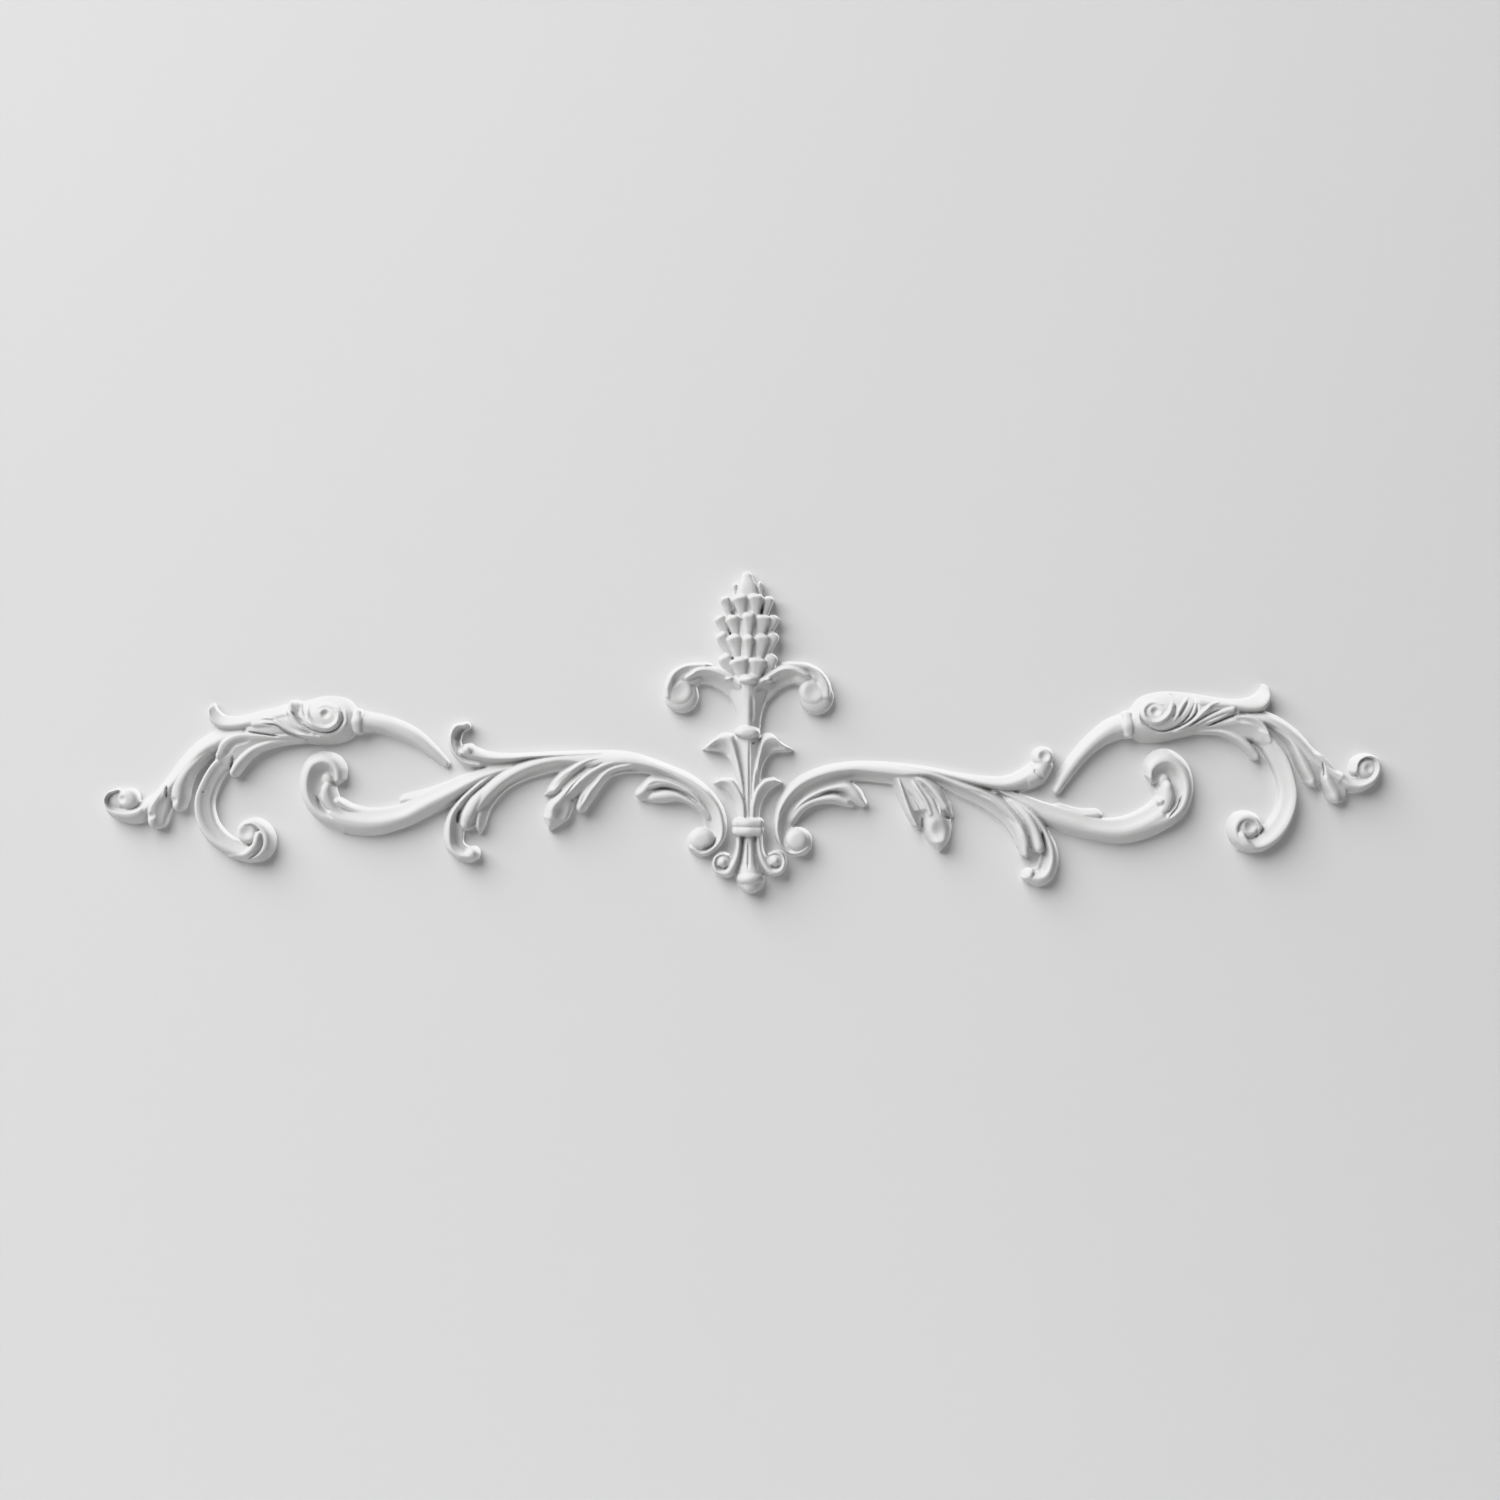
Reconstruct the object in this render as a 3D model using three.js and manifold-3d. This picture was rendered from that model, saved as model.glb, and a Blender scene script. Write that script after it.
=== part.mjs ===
// Scrollwork appliqué: five plaster castings that are fixed flat on a wall as one ornament.
// Millimetres, +X right, +Z up. The wall face is y = 0 and the relief stands out towards -Y.
// The origin is on the wall face, behind the middle of the tie of the centre piece.
import * as THREE from "three";
import { mergeVertices } from "three/addons/utils/BufferGeometryUtils.js";
import Module from "manifold-3d";

const wasm = await Module();
wasm.setup();

// Driving dimensions
const ORNAMENT_WIDTH = 958; // from end volute to end volute
const BAND_RELIEF = 12.5; // how far the crest of an ordinary scroll band stands off the wall
const EYE_RELIEF = 16; // top of the volute eyes
const CONE_RELIEF = 18; // top of the pine cone's body
const CUP_RELIEF = 21; // top of the cup's lip under the cone
const TIE_RELIEF = 18; // top of the tie's bands
const TIE_BAND_HEIGHT = 7.5; // each of the tie's two bands, up the wall
const TIE_WIDTH = 24; // across the tie's bands
const TIE_LAP = 0.8; // how far the two bands run into each other
const SECTION_STEP = 26; // longest stretch of a band between two cross-sections
const CAP_STEPS = 1; // cross-sections that round the end of a band
const CAP_TOP = 0.75; // height at a rounded end's tip, as a share of the crest
const EYE_SIDES = 8; // sides of a round eye or knob

// The drawing: x runs right and y down in squares, with the tie's middle at TIE_ON_SHEET.
// It is DRAWN_WIDTH squares wide from end volute to end volute.
const DRAWN_WIDTH = 1277;
const TIE_ON_SHEET = [748, 828];
const SQUARE = ORNAMENT_WIDTH / DRAWN_WIDTH;

// Half sections, from the foot of a side (0) to the crest (1), with the height as a share of the crest's.
const SIDES = {
  round: [[0, 0], [0.2, 0.62], [1, 1]],
  flat: [[0, 0], [0.12, 0.5], [1, 1]],
  scoop: [[0, 0], [0.08, 0.42], [0.62, 0.46], [1, 1]],
  hollow: [[0, 0], [0.2, 0.95], [1, 0.8]],
  slope: [[0, 0], [1, 1]],
};

// Tall forms as shares of BAND_RELIEF, as the tables below give every height.
const EYE = EYE_RELIEF / BAND_RELIEF;
const CONE = CONE_RELIEF / BAND_RELIEF;
const CUP = CUP_RELIEF / BAND_RELIEF;
const TIE = TIE_RELIEF / BAND_RELIEF;

// A band is [side A, side B, start, end, stations]. A station is
// [edge A x, y, edge B x, y, crest as a share of BAND_RELIEF, where the crest lies from A (0) to B (1)].
// An end is "cut" where another form covers it, "round", or the [x, y] of its tip.
const LEFT_INNER = {
  arch_and_stem: ["round", "scoop", "round", "cut", [
    [692, 853, 697, 843, 0.9, 0.5], [704, 857, 703, 846, 0.95, 0.4], [715, 852, 706, 844, 1, 0.35],
    [724, 840, 708, 838, 1, 0.25],
    [727, 825, 705, 826, 1, 0.25], [721, 803, 700, 815, 1, 0.25], [697, 778, 684, 798, 1, 0.35],
    [662, 762, 656, 777, 1, 0.45], [630, 752, 626, 773, 1, 0.5], [600, 750, 598, 779, 1, 0.5],
    [560, 752, 563, 772, 1, 0.4], [530, 757, 538, 775, 1, 0.4], [503, 768, 512, 786, 1, 0.42],
    [485, 779, 498, 797, 1, 0.45], [474, 792, 489, 809, 1, 0.5], [468, 806, 484, 820, 0.9, 0.5],
  ]],
  pale_lobe: ["round", "round", "cut", "round", [
    [498, 770, 506, 778, 0.9, 0.6], [480, 782, 493, 790, 1.05, 0.6], [465, 798, 482, 804, 1.12, 0.6],
    [458, 814, 477, 817, 1.12, 0.55], [458, 822, 474, 824, 1, 0.5],
  ]],
  dark_lobe: ["round", "flat", "cut", [479, 835], [
    [500, 776, 510, 786, 0.85, 0.3], [486, 793, 497, 799, 0.92, 0.3], [477, 809, 489, 811, 0.92, 0.3],
    [474, 822, 484, 823, 0.85, 0.4],
  ]],
  hook: ["round", "scoop", "cut", "round", [
    [502, 766, 505, 775, 0.9, 0.4], [480, 779, 487, 788, 0.95, 0.4], [459, 798, 470, 804, 1, 0.4],
    [447, 814, 461, 818, 1, 0.45], [442, 832, 463, 832, 1, 0.42], [445, 849, 463, 842, 1, 0.42],
    [456, 860, 467, 846, 1, 0.42], [470, 862, 471, 846, 1, 0.5], [477, 857, 473, 848, 0.9, 0.5],
  ]],
  top_branch: ["round", "scoop", "cut", "cut", [
    [600, 750.5, 600, 758, 0.85, 0.5], [530, 752.5, 533, 761, 0.95, 0.5],
    [487, 751, 486, 769, 0.95, 0.38], [474, 746, 470, 768, 0.95, 0.4],
    [465, 744, 458, 762, 0.9, 0.5],
  ]],
  top_curl: ["scoop", "round", "cut", "round", [
    [480, 757, 480, 768, 0.8, 0.7], [468, 753, 463, 765, 0.9, 0.7], [461, 745, 450, 752, 0.95, 0.6],
    [461, 737, 447, 737, 1, 0.6], [464, 731, 453, 724, 1, 0.6], [468, 730, 463, 722, 1, 0.55],
  ]],
  c_scroll: ["flat", "round", "cut", "cut", [
    [510, 763, 514, 771, 0.85, 0.5], [475, 770, 483, 783, 0.95, 0.6],
    [415, 795, 428, 816, 1, 0.52], [400, 804, 408, 826, 1, 0.48], [372, 808, 372, 836, 1, 0.43],
    [350, 806, 338, 832, 1, 0.42], [338, 803, 322, 824, 1, 0.45],
  ]],
  c_head: ["scoop", "round", "cut", [337, 786], [
    [352, 806, 342, 834, 1, 0.45], [336, 806, 318, 822, 1, 0.55], [328, 802, 305, 807, 1, 0.6],
    [324, 792, 299, 790, 1, 0.6], [324, 783, 299, 774, 1, 0.6], [326, 777, 307, 757, 1, 0.6],
    [329, 774, 323, 751, 1, 0.55], [332, 776, 339, 756, 1, 0.5], [333, 780, 347, 769, 0.95, 0.5],
    [334, 784, 344, 780, 0.85, 0.5],
  ]],
  nib: ["flat", "flat", "cut", "round", [
    [455, 778, 462, 790, 0.9, 0.5], [410, 792, 412, 804, 1.02, 0.5],
    [402, 793, 404, 803, 0.9, 0.5],
  ]],
  c_petal: ["round", "round", "cut", "round", [
    [342, 823, 350, 815, 0.85, 0.5], [329, 815, 337, 806, 0.95, 0.5], [320, 803, 331, 798, 1.05, 0.5],
    [319.5, 791, 330, 789, 1.05, 0.5],
  ]],
  inner_leaf_upper: ["round", "flat", "cut", "round", [
    [712, 812, 706, 818, 0.85, 0.5], [697, 793, 694, 801, 0.9, 0.5], [680, 782, 678, 792, 0.95, 0.45],
    [662, 777, 662, 789, 1, 0.45], [649, 776, 654, 795, 1, 0.4], [639, 786, 646, 800, 0.9, 0.45],
  ]],
  inner_leaf_lower: ["round", "round", "cut", "cut", [
    [712, 812, 706, 822, 0.85, 0.5], [695, 800, 693, 808, 0.85, 0.5], [679, 791, 679, 801.5, 0.9, 0.5],
    [665, 788, 665, 803, 0.95, 0.5], [653, 790, 652, 803, 0.85, 0.5],
  ]],
  hanging_leaf_left: ["round", "flat", "cut", [543, 796], [
    [612, 751, 610, 757, 0.95, 0.5], [590, 757, 592, 763, 1.05, 0.5], [571, 764, 578, 774, 1.12, 0.5],
    [556, 775, 567, 786, 1.15, 0.5], [547, 787, 561, 794, 1.05, 0.5],
  ]],
  hanging_leaf_big: ["round", "scoop", "cut", [549, 832], [
    [628, 757, 630, 763, 0.95, 0.5], [606, 760, 610, 769, 1.05, 0.5], [587, 767, 594, 780, 1.1, 0.5],
    [556, 794, 574, 800, 1.25, 0.42], [546, 804, 572, 808, 1.28, 0.4],
    [542, 817, 568, 819, 1.2, 0.4],
  ]],
  hanging_leaf_right: ["round", "round", "cut", "round", [
    [632, 760, 634, 768, 0.95, 0.5], [608, 767, 613, 773, 1, 0.5], [591, 780, 601, 787, 1.05, 0.5],
    [578, 795, 594, 798, 1.1, 0.5], [575, 805, 587, 808, 1.05, 0.5],
  ]],
};
const RIGHT_INNER = {
  arch_and_stem: ["round", "scoop", "round", "cut", [
    [808, 853, 802, 844, 0.9, 0.5], [797, 857, 797, 846, 0.95, 0.4], [786, 853, 793, 845, 1, 0.35],
    [776, 841, 791, 838, 1, 0.25],
    [773, 822, 792, 826, 1, 0.25], [779, 798, 796, 812, 1, 0.3], [795, 779, 812, 796, 1, 0.32],
    [820, 767, 834, 786, 1, 0.36], [848, 761.5, 856, 781, 1, 0.42],
    [900, 763, 905, 786, 1, 0.5], [927, 768, 933, 784, 1, 0.4],
    [985, 788, 984, 809, 1, 0.42], [1008, 800, 1001, 822, 1, 0.5], [1024, 817, 1012, 836, 0.95, 0.5],
    [1030, 834, 1017, 847, 0.85, 0.5],
  ]],
  left_lobe: ["round", "round", "cut", "round", [
    [1010, 806, 1000, 815, 0.9, 0.5], [1024, 824, 1011, 832, 1, 0.4], [1030, 841, 1017, 846, 1.05, 0.4],
    [1030, 851, 1020, 854, 0.95, 0.5],
  ]],
  right_lobe: ["round", "round", "cut", "round", [
    [1015, 796, 1006, 804, 0.95, 0.5], [1032, 812, 1020, 820, 1.02, 0.5], [1041, 828, 1028, 834, 1.1, 0.5],
    [1046, 844, 1031, 847, 1.12, 0.5],
  ]],
  hook: ["round", "scoop", "cut", "round", [
    [1012, 793, 1008, 802, 0.9, 0.4], [1035, 811, 1027, 819, 0.95, 0.45], [1049, 830, 1038, 836, 1, 0.45],
    [1058, 848, 1041, 850, 1, 0.5], [1059, 866, 1038, 861, 1, 0.5], [1052, 881, 1036, 868, 1, 0.5],
    [1039, 887, 1032, 868, 1, 0.5], [1029, 883, 1028, 869, 0.95, 0.5],
  ]],
  top_branch: ["flat", "round", "cut", "cut", [
    [900, 763, 901, 770, 0.9, 0.5], [930, 767, 932, 775, 0.95, 0.5],
    [985, 776, 985, 788, 0.95, 0.6], [1005, 776, 1005, 792, 0.95, 0.5], [1020, 770, 1026, 791, 0.95, 0.4],
    [1030, 763, 1042, 783, 0.95, 0.4],
  ]],
  top_curl: ["round", "round", "cut", "round", [
    [1022, 770, 1032, 790, 0.95, 0.45], [1031, 766, 1046, 779, 1, 0.45], [1032, 760, 1054, 764, 1.05, 0.45],
    [1033, 756, 1053, 756, 1.05, 0.5],
  ]],
  c_scroll: ["flat", "round", "cut", "cut", [
    [998, 787, 1006, 797, 0.9, 0.5], [1045, 802, 1050, 828, 1, 0.42],
    [1095, 817, 1092, 840, 1, 0.5], [1120, 817, 1120, 844, 1, 0.5],
    [1143, 808, 1150, 838, 1, 0.5], [1153, 800, 1170, 828, 1, 0.5],
  ]],
  c_head: ["scoop", "round", "cut", [1155, 786], [
    [1141, 808, 1148, 838, 1, 0.5], [1157, 806, 1170, 828, 1, 0.5], [1166, 802, 1187, 813, 1, 0.5],
    [1170, 795, 1194, 795, 1, 0.5], [1169, 786, 1194, 777, 1, 0.48], [1166, 779, 1185, 760, 1, 0.48],
    [1162, 775, 1169, 749, 1, 0.48], [1158, 775, 1154, 752, 0.95, 0.5], [1156, 778, 1144, 765, 0.95, 0.5],
    [1156, 782, 1147, 777, 0.85, 0.5],
  ]],
  nib: ["flat", "flat", "cut", "round", [
    [1060, 803, 1060, 815, 0.95, 0.5], [1080, 808.5, 1080, 820, 1.02, 0.5], [1094, 808, 1095, 820, 1, 0.5],
  ]],
  c_petal: ["round", "round", "cut", "round", [
    [1146, 816, 1158, 826, 0.85, 0.5], [1160, 804, 1173, 808, 0.95, 0.5], [1158, 792, 1175, 795, 1.05, 0.5],
    [1157, 788, 1172, 788, 1.05, 0.5],
  ]],
  inner_leaf_upper: ["round", "flat", "cut", "round", [
    [788, 812, 795, 818, 0.85, 0.5], [800, 799, 804, 806, 0.9, 0.5], [815, 790, 818, 798, 0.95, 0.45],
    [832, 784, 834, 793, 1, 0.45], [848, 781, 845, 797, 1, 0.45], [861, 789, 851, 802, 1, 0.5],
    [866, 799, 859, 806, 0.85, 0.5],
  ]],
  inner_leaf_lower: ["round", "round", "cut", "cut", [
    [788, 815, 795, 824, 0.85, 0.5], [800, 803, 805, 811, 0.85, 0.5], [815, 796, 818, 804.5, 0.9, 0.5],
    [835, 792, 834, 804, 0.95, 0.5], [848, 797, 847, 807, 0.85, 0.5],
  ]],
  hanging_leaf_left: ["round", "scoop", "cut", [919, 831], [
    [890, 768, 903, 776, 0.95, 0.5], [901, 800, 914, 800, 1.05, 0.35],
    [906, 815, 922, 812, 1.1, 0.3], [912, 826, 924, 822, 1.05, 0.35],
  ]],
  hanging_leaf_ridge: ["round", "round", "cut", "round", [
    [905, 770, 912, 776, 1, 0.5], [919, 800, 931, 802, 1.2, 0.5],
    [925, 813, 935, 813, 1.15, 0.5],
  ]],
  hanging_leaf_big: ["hollow", "hollow", "cut", [940, 853], [
    [915, 785, 925, 790, 1, 0.5], [921, 806, 940, 802, 1.15, 0.5],
    [922, 833, 953, 826, 1.28, 0.5], [929, 843, 951, 839, 1.15, 0.5],
  ]],
  hanging_leaf_right: ["flat", "round", "cut", [954, 818], [
    [903, 768, 904, 777, 0.95, 0.5], [925, 775, 920, 787, 1.05, 0.5], [941, 787, 931, 799, 1.1, 0.5],
    [951, 803, 940, 811, 1.08, 0.5],
  ]],
};
const LEFT_OUTER = {
  horn: ["round", "round", "cut", "round", [
    [359, 710, 359, 732, 0.95, 0.5], [380, 714, 378, 733.5, 0.9, 0.5], [400, 720, 396, 740, 0.8, 0.5],
    [420, 731, 414, 748, 0.7, 0.5], [448, 760, 441, 766, 0.4, 0.5],
  ]],
  collar: ["round", "round", "round", "round", [
    [355, 712, 362, 712, 0.95, 0.5], [353, 720, 363, 720, 1.15, 0.5], [354, 730, 362, 730, 1, 0.5],
  ]],
  head: ["round", "round", "cut", "cut", [
    [357, 708, 355, 731, 1, 0.5], [347, 699, 350, 739, 1.15, 0.5], [325, 696, 328, 745, 1.25, 0.5],
    [285, 704, 285, 743, 1.1, 0.5],
    [248, 715, 250, 750, 0.9, 0.5],
  ]],
  tail_leaf: ["scoop", "round", "cut", [213, 702], [
    [300, 702, 296, 722, 1.1, 0.5], [255, 712, 250, 729, 1, 0.5],
    [238, 716, 236, 729, 1, 0.5], [224, 715, 220, 728, 1, 0.6], [217, 709, 210, 721, 1, 0.65],
    [215, 705, 208, 712, 0.95, 0.6],
  ]],
  under_leaf: ["round", "scoop", "cut", [214, 766], [
    [300, 729, 300, 743, 1, 0.3], [275, 731, 277, 744, 1.05, 0.25], [252, 730, 258, 750, 1.1, 0.22],
    [236, 730.5, 246, 757, 1.1, 0.22], [224, 738, 236, 762, 1.1, 0.22], [217, 751, 226, 766, 1, 0.28],
  ]],
  small_lobe: ["round", "round", "cut", "round", [
    [275, 736, 277, 745, 0.95, 0.5], [256, 742, 262, 749, 1, 0.5], [243, 750, 252, 757, 1.02, 0.5],
    [229, 770, 240, 773, 0.95, 0.5],
  ]],
  c_scroll: ["round", "scoop", "cut", "cut", [
    [226, 748, 238, 760, 1, 0.3], [213, 761, 228, 768, 1, 0.25], [201, 780, 219, 783, 1, 0.2],
    [194.5, 800, 213, 803, 1, 0.2], [196, 822, 218, 821, 1, 0.24], [207, 842, 228, 832, 1, 0.36],
    [225, 855, 238, 839, 1, 0.45], [247, 862, 246, 843, 1, 0.5], [260, 861, 250, 845, 1, 0.5],
  ]],
  c_volute: ["round", "scoop", "cut", [236, 841], [
    [244, 861.5, 245, 844, 1, 0.5], [264, 859, 253, 845, 1, 0.5], [275, 842, 258, 838, 1.05, 0.5],
    [271, 826, 257, 832, 1, 0.5], [258, 819, 252, 829, 1, 0.5], [245, 821, 245, 829, 0.95, 0.45],
    [238, 829, 242, 833, 0.9, 0.45],
  ]],
  c_petal: ["round", "round", "cut", "round", [
    [238, 848, 240, 860, 0.95, 0.4], [248, 849, 256, 858, 1.05, 0.35], [253, 841, 265, 847, 1.12, 0.35],
    [256, 835, 264, 836, 1.1, 0.45],
  ]],
  outer_branch: ["round", "scoop", "cut", "cut", [
    [240, 724, 240, 736, 0.9, 0.5], [215, 729, 221, 748, 1, 0.45], [195, 740, 207, 754, 1, 0.45],
    [177, 758, 189, 772, 1, 0.5], [152, 792, 167, 801, 1, 0.5],
    [142, 800, 150, 813, 1, 0.5],
  ]],
  end_volute: ["scoop", "round", "cut", "round", [
    [146, 797, 154, 808, 0.95, 0.5], [135, 804, 140, 823, 1, 0.4], [123, 806, 122, 823, 1, 0.4],
    [113, 804, 108, 815, 1, 0.45], [110, 799, 103, 802, 0.95, 0.5], [112, 795, 107, 792, 0.9, 0.5],
    [118, 793, 116, 788, 0.85, 0.5],
  ]],
  first_lobe: ["round", "round", "cut", "round", [
    [205, 746, 213, 751, 1, 0.5], [184, 767, 197, 768, 1.02, 0.5], [173, 784, 190, 785, 1.06, 0.45],
    [170, 795, 188, 798, 1.06, 0.45], [172, 803, 185, 804, 1, 0.45],
  ]],
  second_lobe: ["round", "round", "cut", "round", [
    [163, 783, 173, 789, 1, 0.5], [155, 797, 169, 800, 1.05, 0.45], [148, 810, 169, 812, 1.08, 0.45],
    [146, 818, 166, 821, 1.02, 0.45],
  ]],
  head_ring: ["round", "round", "cut", "round", [
    [303, 706, 309, 716, 1.25, 0.5], [316, 702, 319, 709, 1.35, 0.5], [329, 703, 328, 709, 1.42, 0.5],
    [339, 711, 333, 713, 1.45, 0.5], [335, 723, 329, 718, 1.45, 0.5], [323, 723, 324, 717, 1.4, 0.5],
  ]],
  head_scroll: ["round", "round", "cut", [287, 704], [
    [345, 702, 341, 706, 1.22, 0.5], [350, 716, 344, 715, 1.25, 0.5], [344, 731, 338, 726, 1.3, 0.5],
    [328, 738, 326, 731, 1.32, 0.5], [310, 736, 313, 728, 1.3, 0.5], [295, 728, 301, 720, 1.25, 0.5],
    [286, 716, 294, 712, 1.22, 0.5],
  ]],
  head_blade: ["round", "round", "cut", "round", [
    [322, 735, 322, 742, 1.15, 0.5], [302, 730, 301, 738, 1.2, 0.5],
    [271, 716, 271, 728, 1.22, 0.5], [260, 717, 260, 728, 1.18, 0.5],
  ]],
};
const RIGHT_OUTER = {
  horn: ["round", "round", "cut", "round", [
    [1127, 712, 1126, 738, 0.95, 0.5], [1108, 719, 1110, 743, 0.95, 0.5], [1088, 735, 1096, 752, 0.9, 0.5],
    [1060, 771, 1072, 779, 0.7, 0.5], [1053, 787, 1062, 792, 0.6, 0.5],
  ]],
  collar: ["round", "round", "round", "round", [
    [1123, 716, 1130, 715, 0.95, 0.5], [1121, 725, 1132, 725, 1.15, 0.5], [1123, 734, 1132, 734, 1, 0.5],
  ]],
  head: ["round", "round", "cut", "cut", [
    [1128, 713, 1130, 735, 1, 0.5], [1140, 698, 1138, 741, 1.15, 0.5], [1160, 692, 1158, 743, 1.25, 0.5],
    [1203, 695, 1203, 733, 1.1, 0.5], [1222, 698, 1222, 735, 1, 0.5],
    [1238, 700, 1236, 740, 0.9, 0.5],
  ]],
  tail_leaf: ["flat", "round", "cut", [1264, 683], [
    [1195, 694, 1200, 712, 1.1, 0.5], [1232, 699, 1232, 712, 1, 0.5],
    [1247, 698, 1249, 714, 1, 0.6], [1256, 694, 1265, 711, 1, 0.65], [1261, 689, 1272, 699, 1, 0.65],
    [1263, 685, 1269, 689, 0.9, 0.5],
  ]],
  under_leaf: ["round", "scoop", "cut", [1272, 748], [
    [1198, 722, 1198, 733, 1, 0.3], [1222, 717, 1222, 734, 1.05, 0.3], [1240, 713, 1240, 739, 1.1, 0.22],
    [1256, 716, 1251, 740, 1.1, 0.22], [1266, 726, 1257, 743, 1.1, 0.25], [1271, 738, 1264, 746, 1, 0.35],
  ]],
  small_lobe: ["round", "round", "cut", "round", [
    [1212, 725, 1212, 734, 0.95, 0.5], [1228, 728, 1226, 737, 1, 0.5], [1243, 734, 1236, 745, 1.02, 0.5],
    [1260, 752, 1250, 758, 0.9, 0.5],
  ]],
  c_scroll: ["round", "scoop", "cut", [1257, 838], [
    [1250, 723, 1240, 735, 1, 0.3], [1270, 735, 1255, 744, 1, 0.25], [1285, 752, 1266, 757, 1, 0.22],
    [1294, 775, 1275, 776, 1, 0.22], [1298, 797, 1278, 793, 1, 0.22], [1294, 820, 1274, 811, 1, 0.25],
    [1281, 841, 1265, 825, 1, 0.3], [1262, 853, 1257, 836, 1, 0.36], [1243, 852, 1249, 838, 1, 0.45],
    [1229, 838, 1241, 835, 1.05, 0.5], [1228, 821, 1239, 829, 1, 0.5], [1241, 811, 1243, 823, 1, 0.5],
    [1255, 814, 1250, 822, 1, 0.5], [1264, 825, 1255, 827, 0.9, 0.5],
  ]],
  c_petal: ["round", "round", "cut", "round", [
    [1264, 849, 1259, 838, 0.95, 0.5], [1250, 851, 1251, 840, 1.05, 0.5], [1239, 846, 1246, 837, 1.12, 0.5],
    [1236, 838, 1244, 832, 1.1, 0.5],
  ]],
  outer_branch: ["flat", "round", "cut", "cut", [
    [1246, 711, 1250, 723, 0.9, 0.5], [1266, 711.5, 1270, 727, 1, 0.5], [1286, 720, 1285, 738, 1, 0.5],
    [1303, 734, 1297, 750, 1, 0.5], [1331, 765, 1320, 774, 1, 0.5],
    [1344, 773, 1334, 785, 1, 0.5],
  ]],
  end_volute: ["scoop", "round", "cut", "round", [
    [1342, 772, 1334, 781, 0.95, 0.5], [1351, 777, 1347, 791, 1, 0.5], [1359, 777, 1360, 793, 1, 0.5],
    [1367, 773, 1377, 783, 1, 0.5], [1370, 766, 1383, 768, 1, 0.5], [1369, 760, 1376, 756, 1, 0.5],
    [1363, 760, 1363, 753.5, 1, 0.45], [1361, 764, 1352, 760, 0.95, 0.45], [1360, 770, 1350, 769, 0.9, 0.45],
  ]],
  first_lobe: ["round", "round", "cut", "round", [
    [1275, 728, 1286, 724, 1, 0.5], [1290, 742, 1303, 742, 1.02, 0.5],
    [1303, 770, 1320, 768, 1.06, 0.5], [1307, 779, 1321, 777, 1, 0.5],
  ]],
  second_lobe: ["round", "round", "cut", "round", [
    [1310, 752, 1322, 757, 1, 0.5], [1320, 766, 1333, 768, 1.02, 0.5], [1323, 781, 1341, 778, 1.08, 0.5],
    [1327, 793, 1346, 788, 1.06, 0.5],
  ]],
  head_ring: ["round", "round", "cut", "round", [
    [1178, 703, 1172, 714, 1.25, 0.5], [1164, 701, 1161, 707, 1.35, 0.5], [1151, 699, 1152, 706, 1.42, 0.5],
    [1139, 709, 1146, 710, 1.45, 0.5], [1146, 721, 1150, 715, 1.45, 0.5], [1157, 720, 1155, 714, 1.4, 0.5],
  ]],
  head_scroll: ["round", "round", "cut", [1190, 692], [
    [1134, 709, 1139, 711, 1.22, 0.5], [1138, 725, 1144, 720, 1.25, 0.5], [1152, 732, 1153, 725, 1.3, 0.5],
    [1168, 730, 1165, 722, 1.32, 0.5], [1182, 720, 1176, 714, 1.3, 0.5], [1191, 708, 1184, 704, 1.22, 0.5],
  ]],
  head_blade: ["round", "round", "cut", [1221, 700], [
    [1176, 733, 1174, 728, 1.15, 0.5], [1197, 723, 1193, 716, 1.2, 0.5], [1210, 713, 1204, 704, 1.2, 0.5],
  ]],
  head_second_blade: ["round", "round", "cut", "round", [
    [1180, 733, 1180, 728, 1.1, 0.5], [1220, 718, 1216, 708, 1.18, 0.5],
    [1232, 714, 1229, 705, 1.15, 0.5],
  ]],
};
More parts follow.
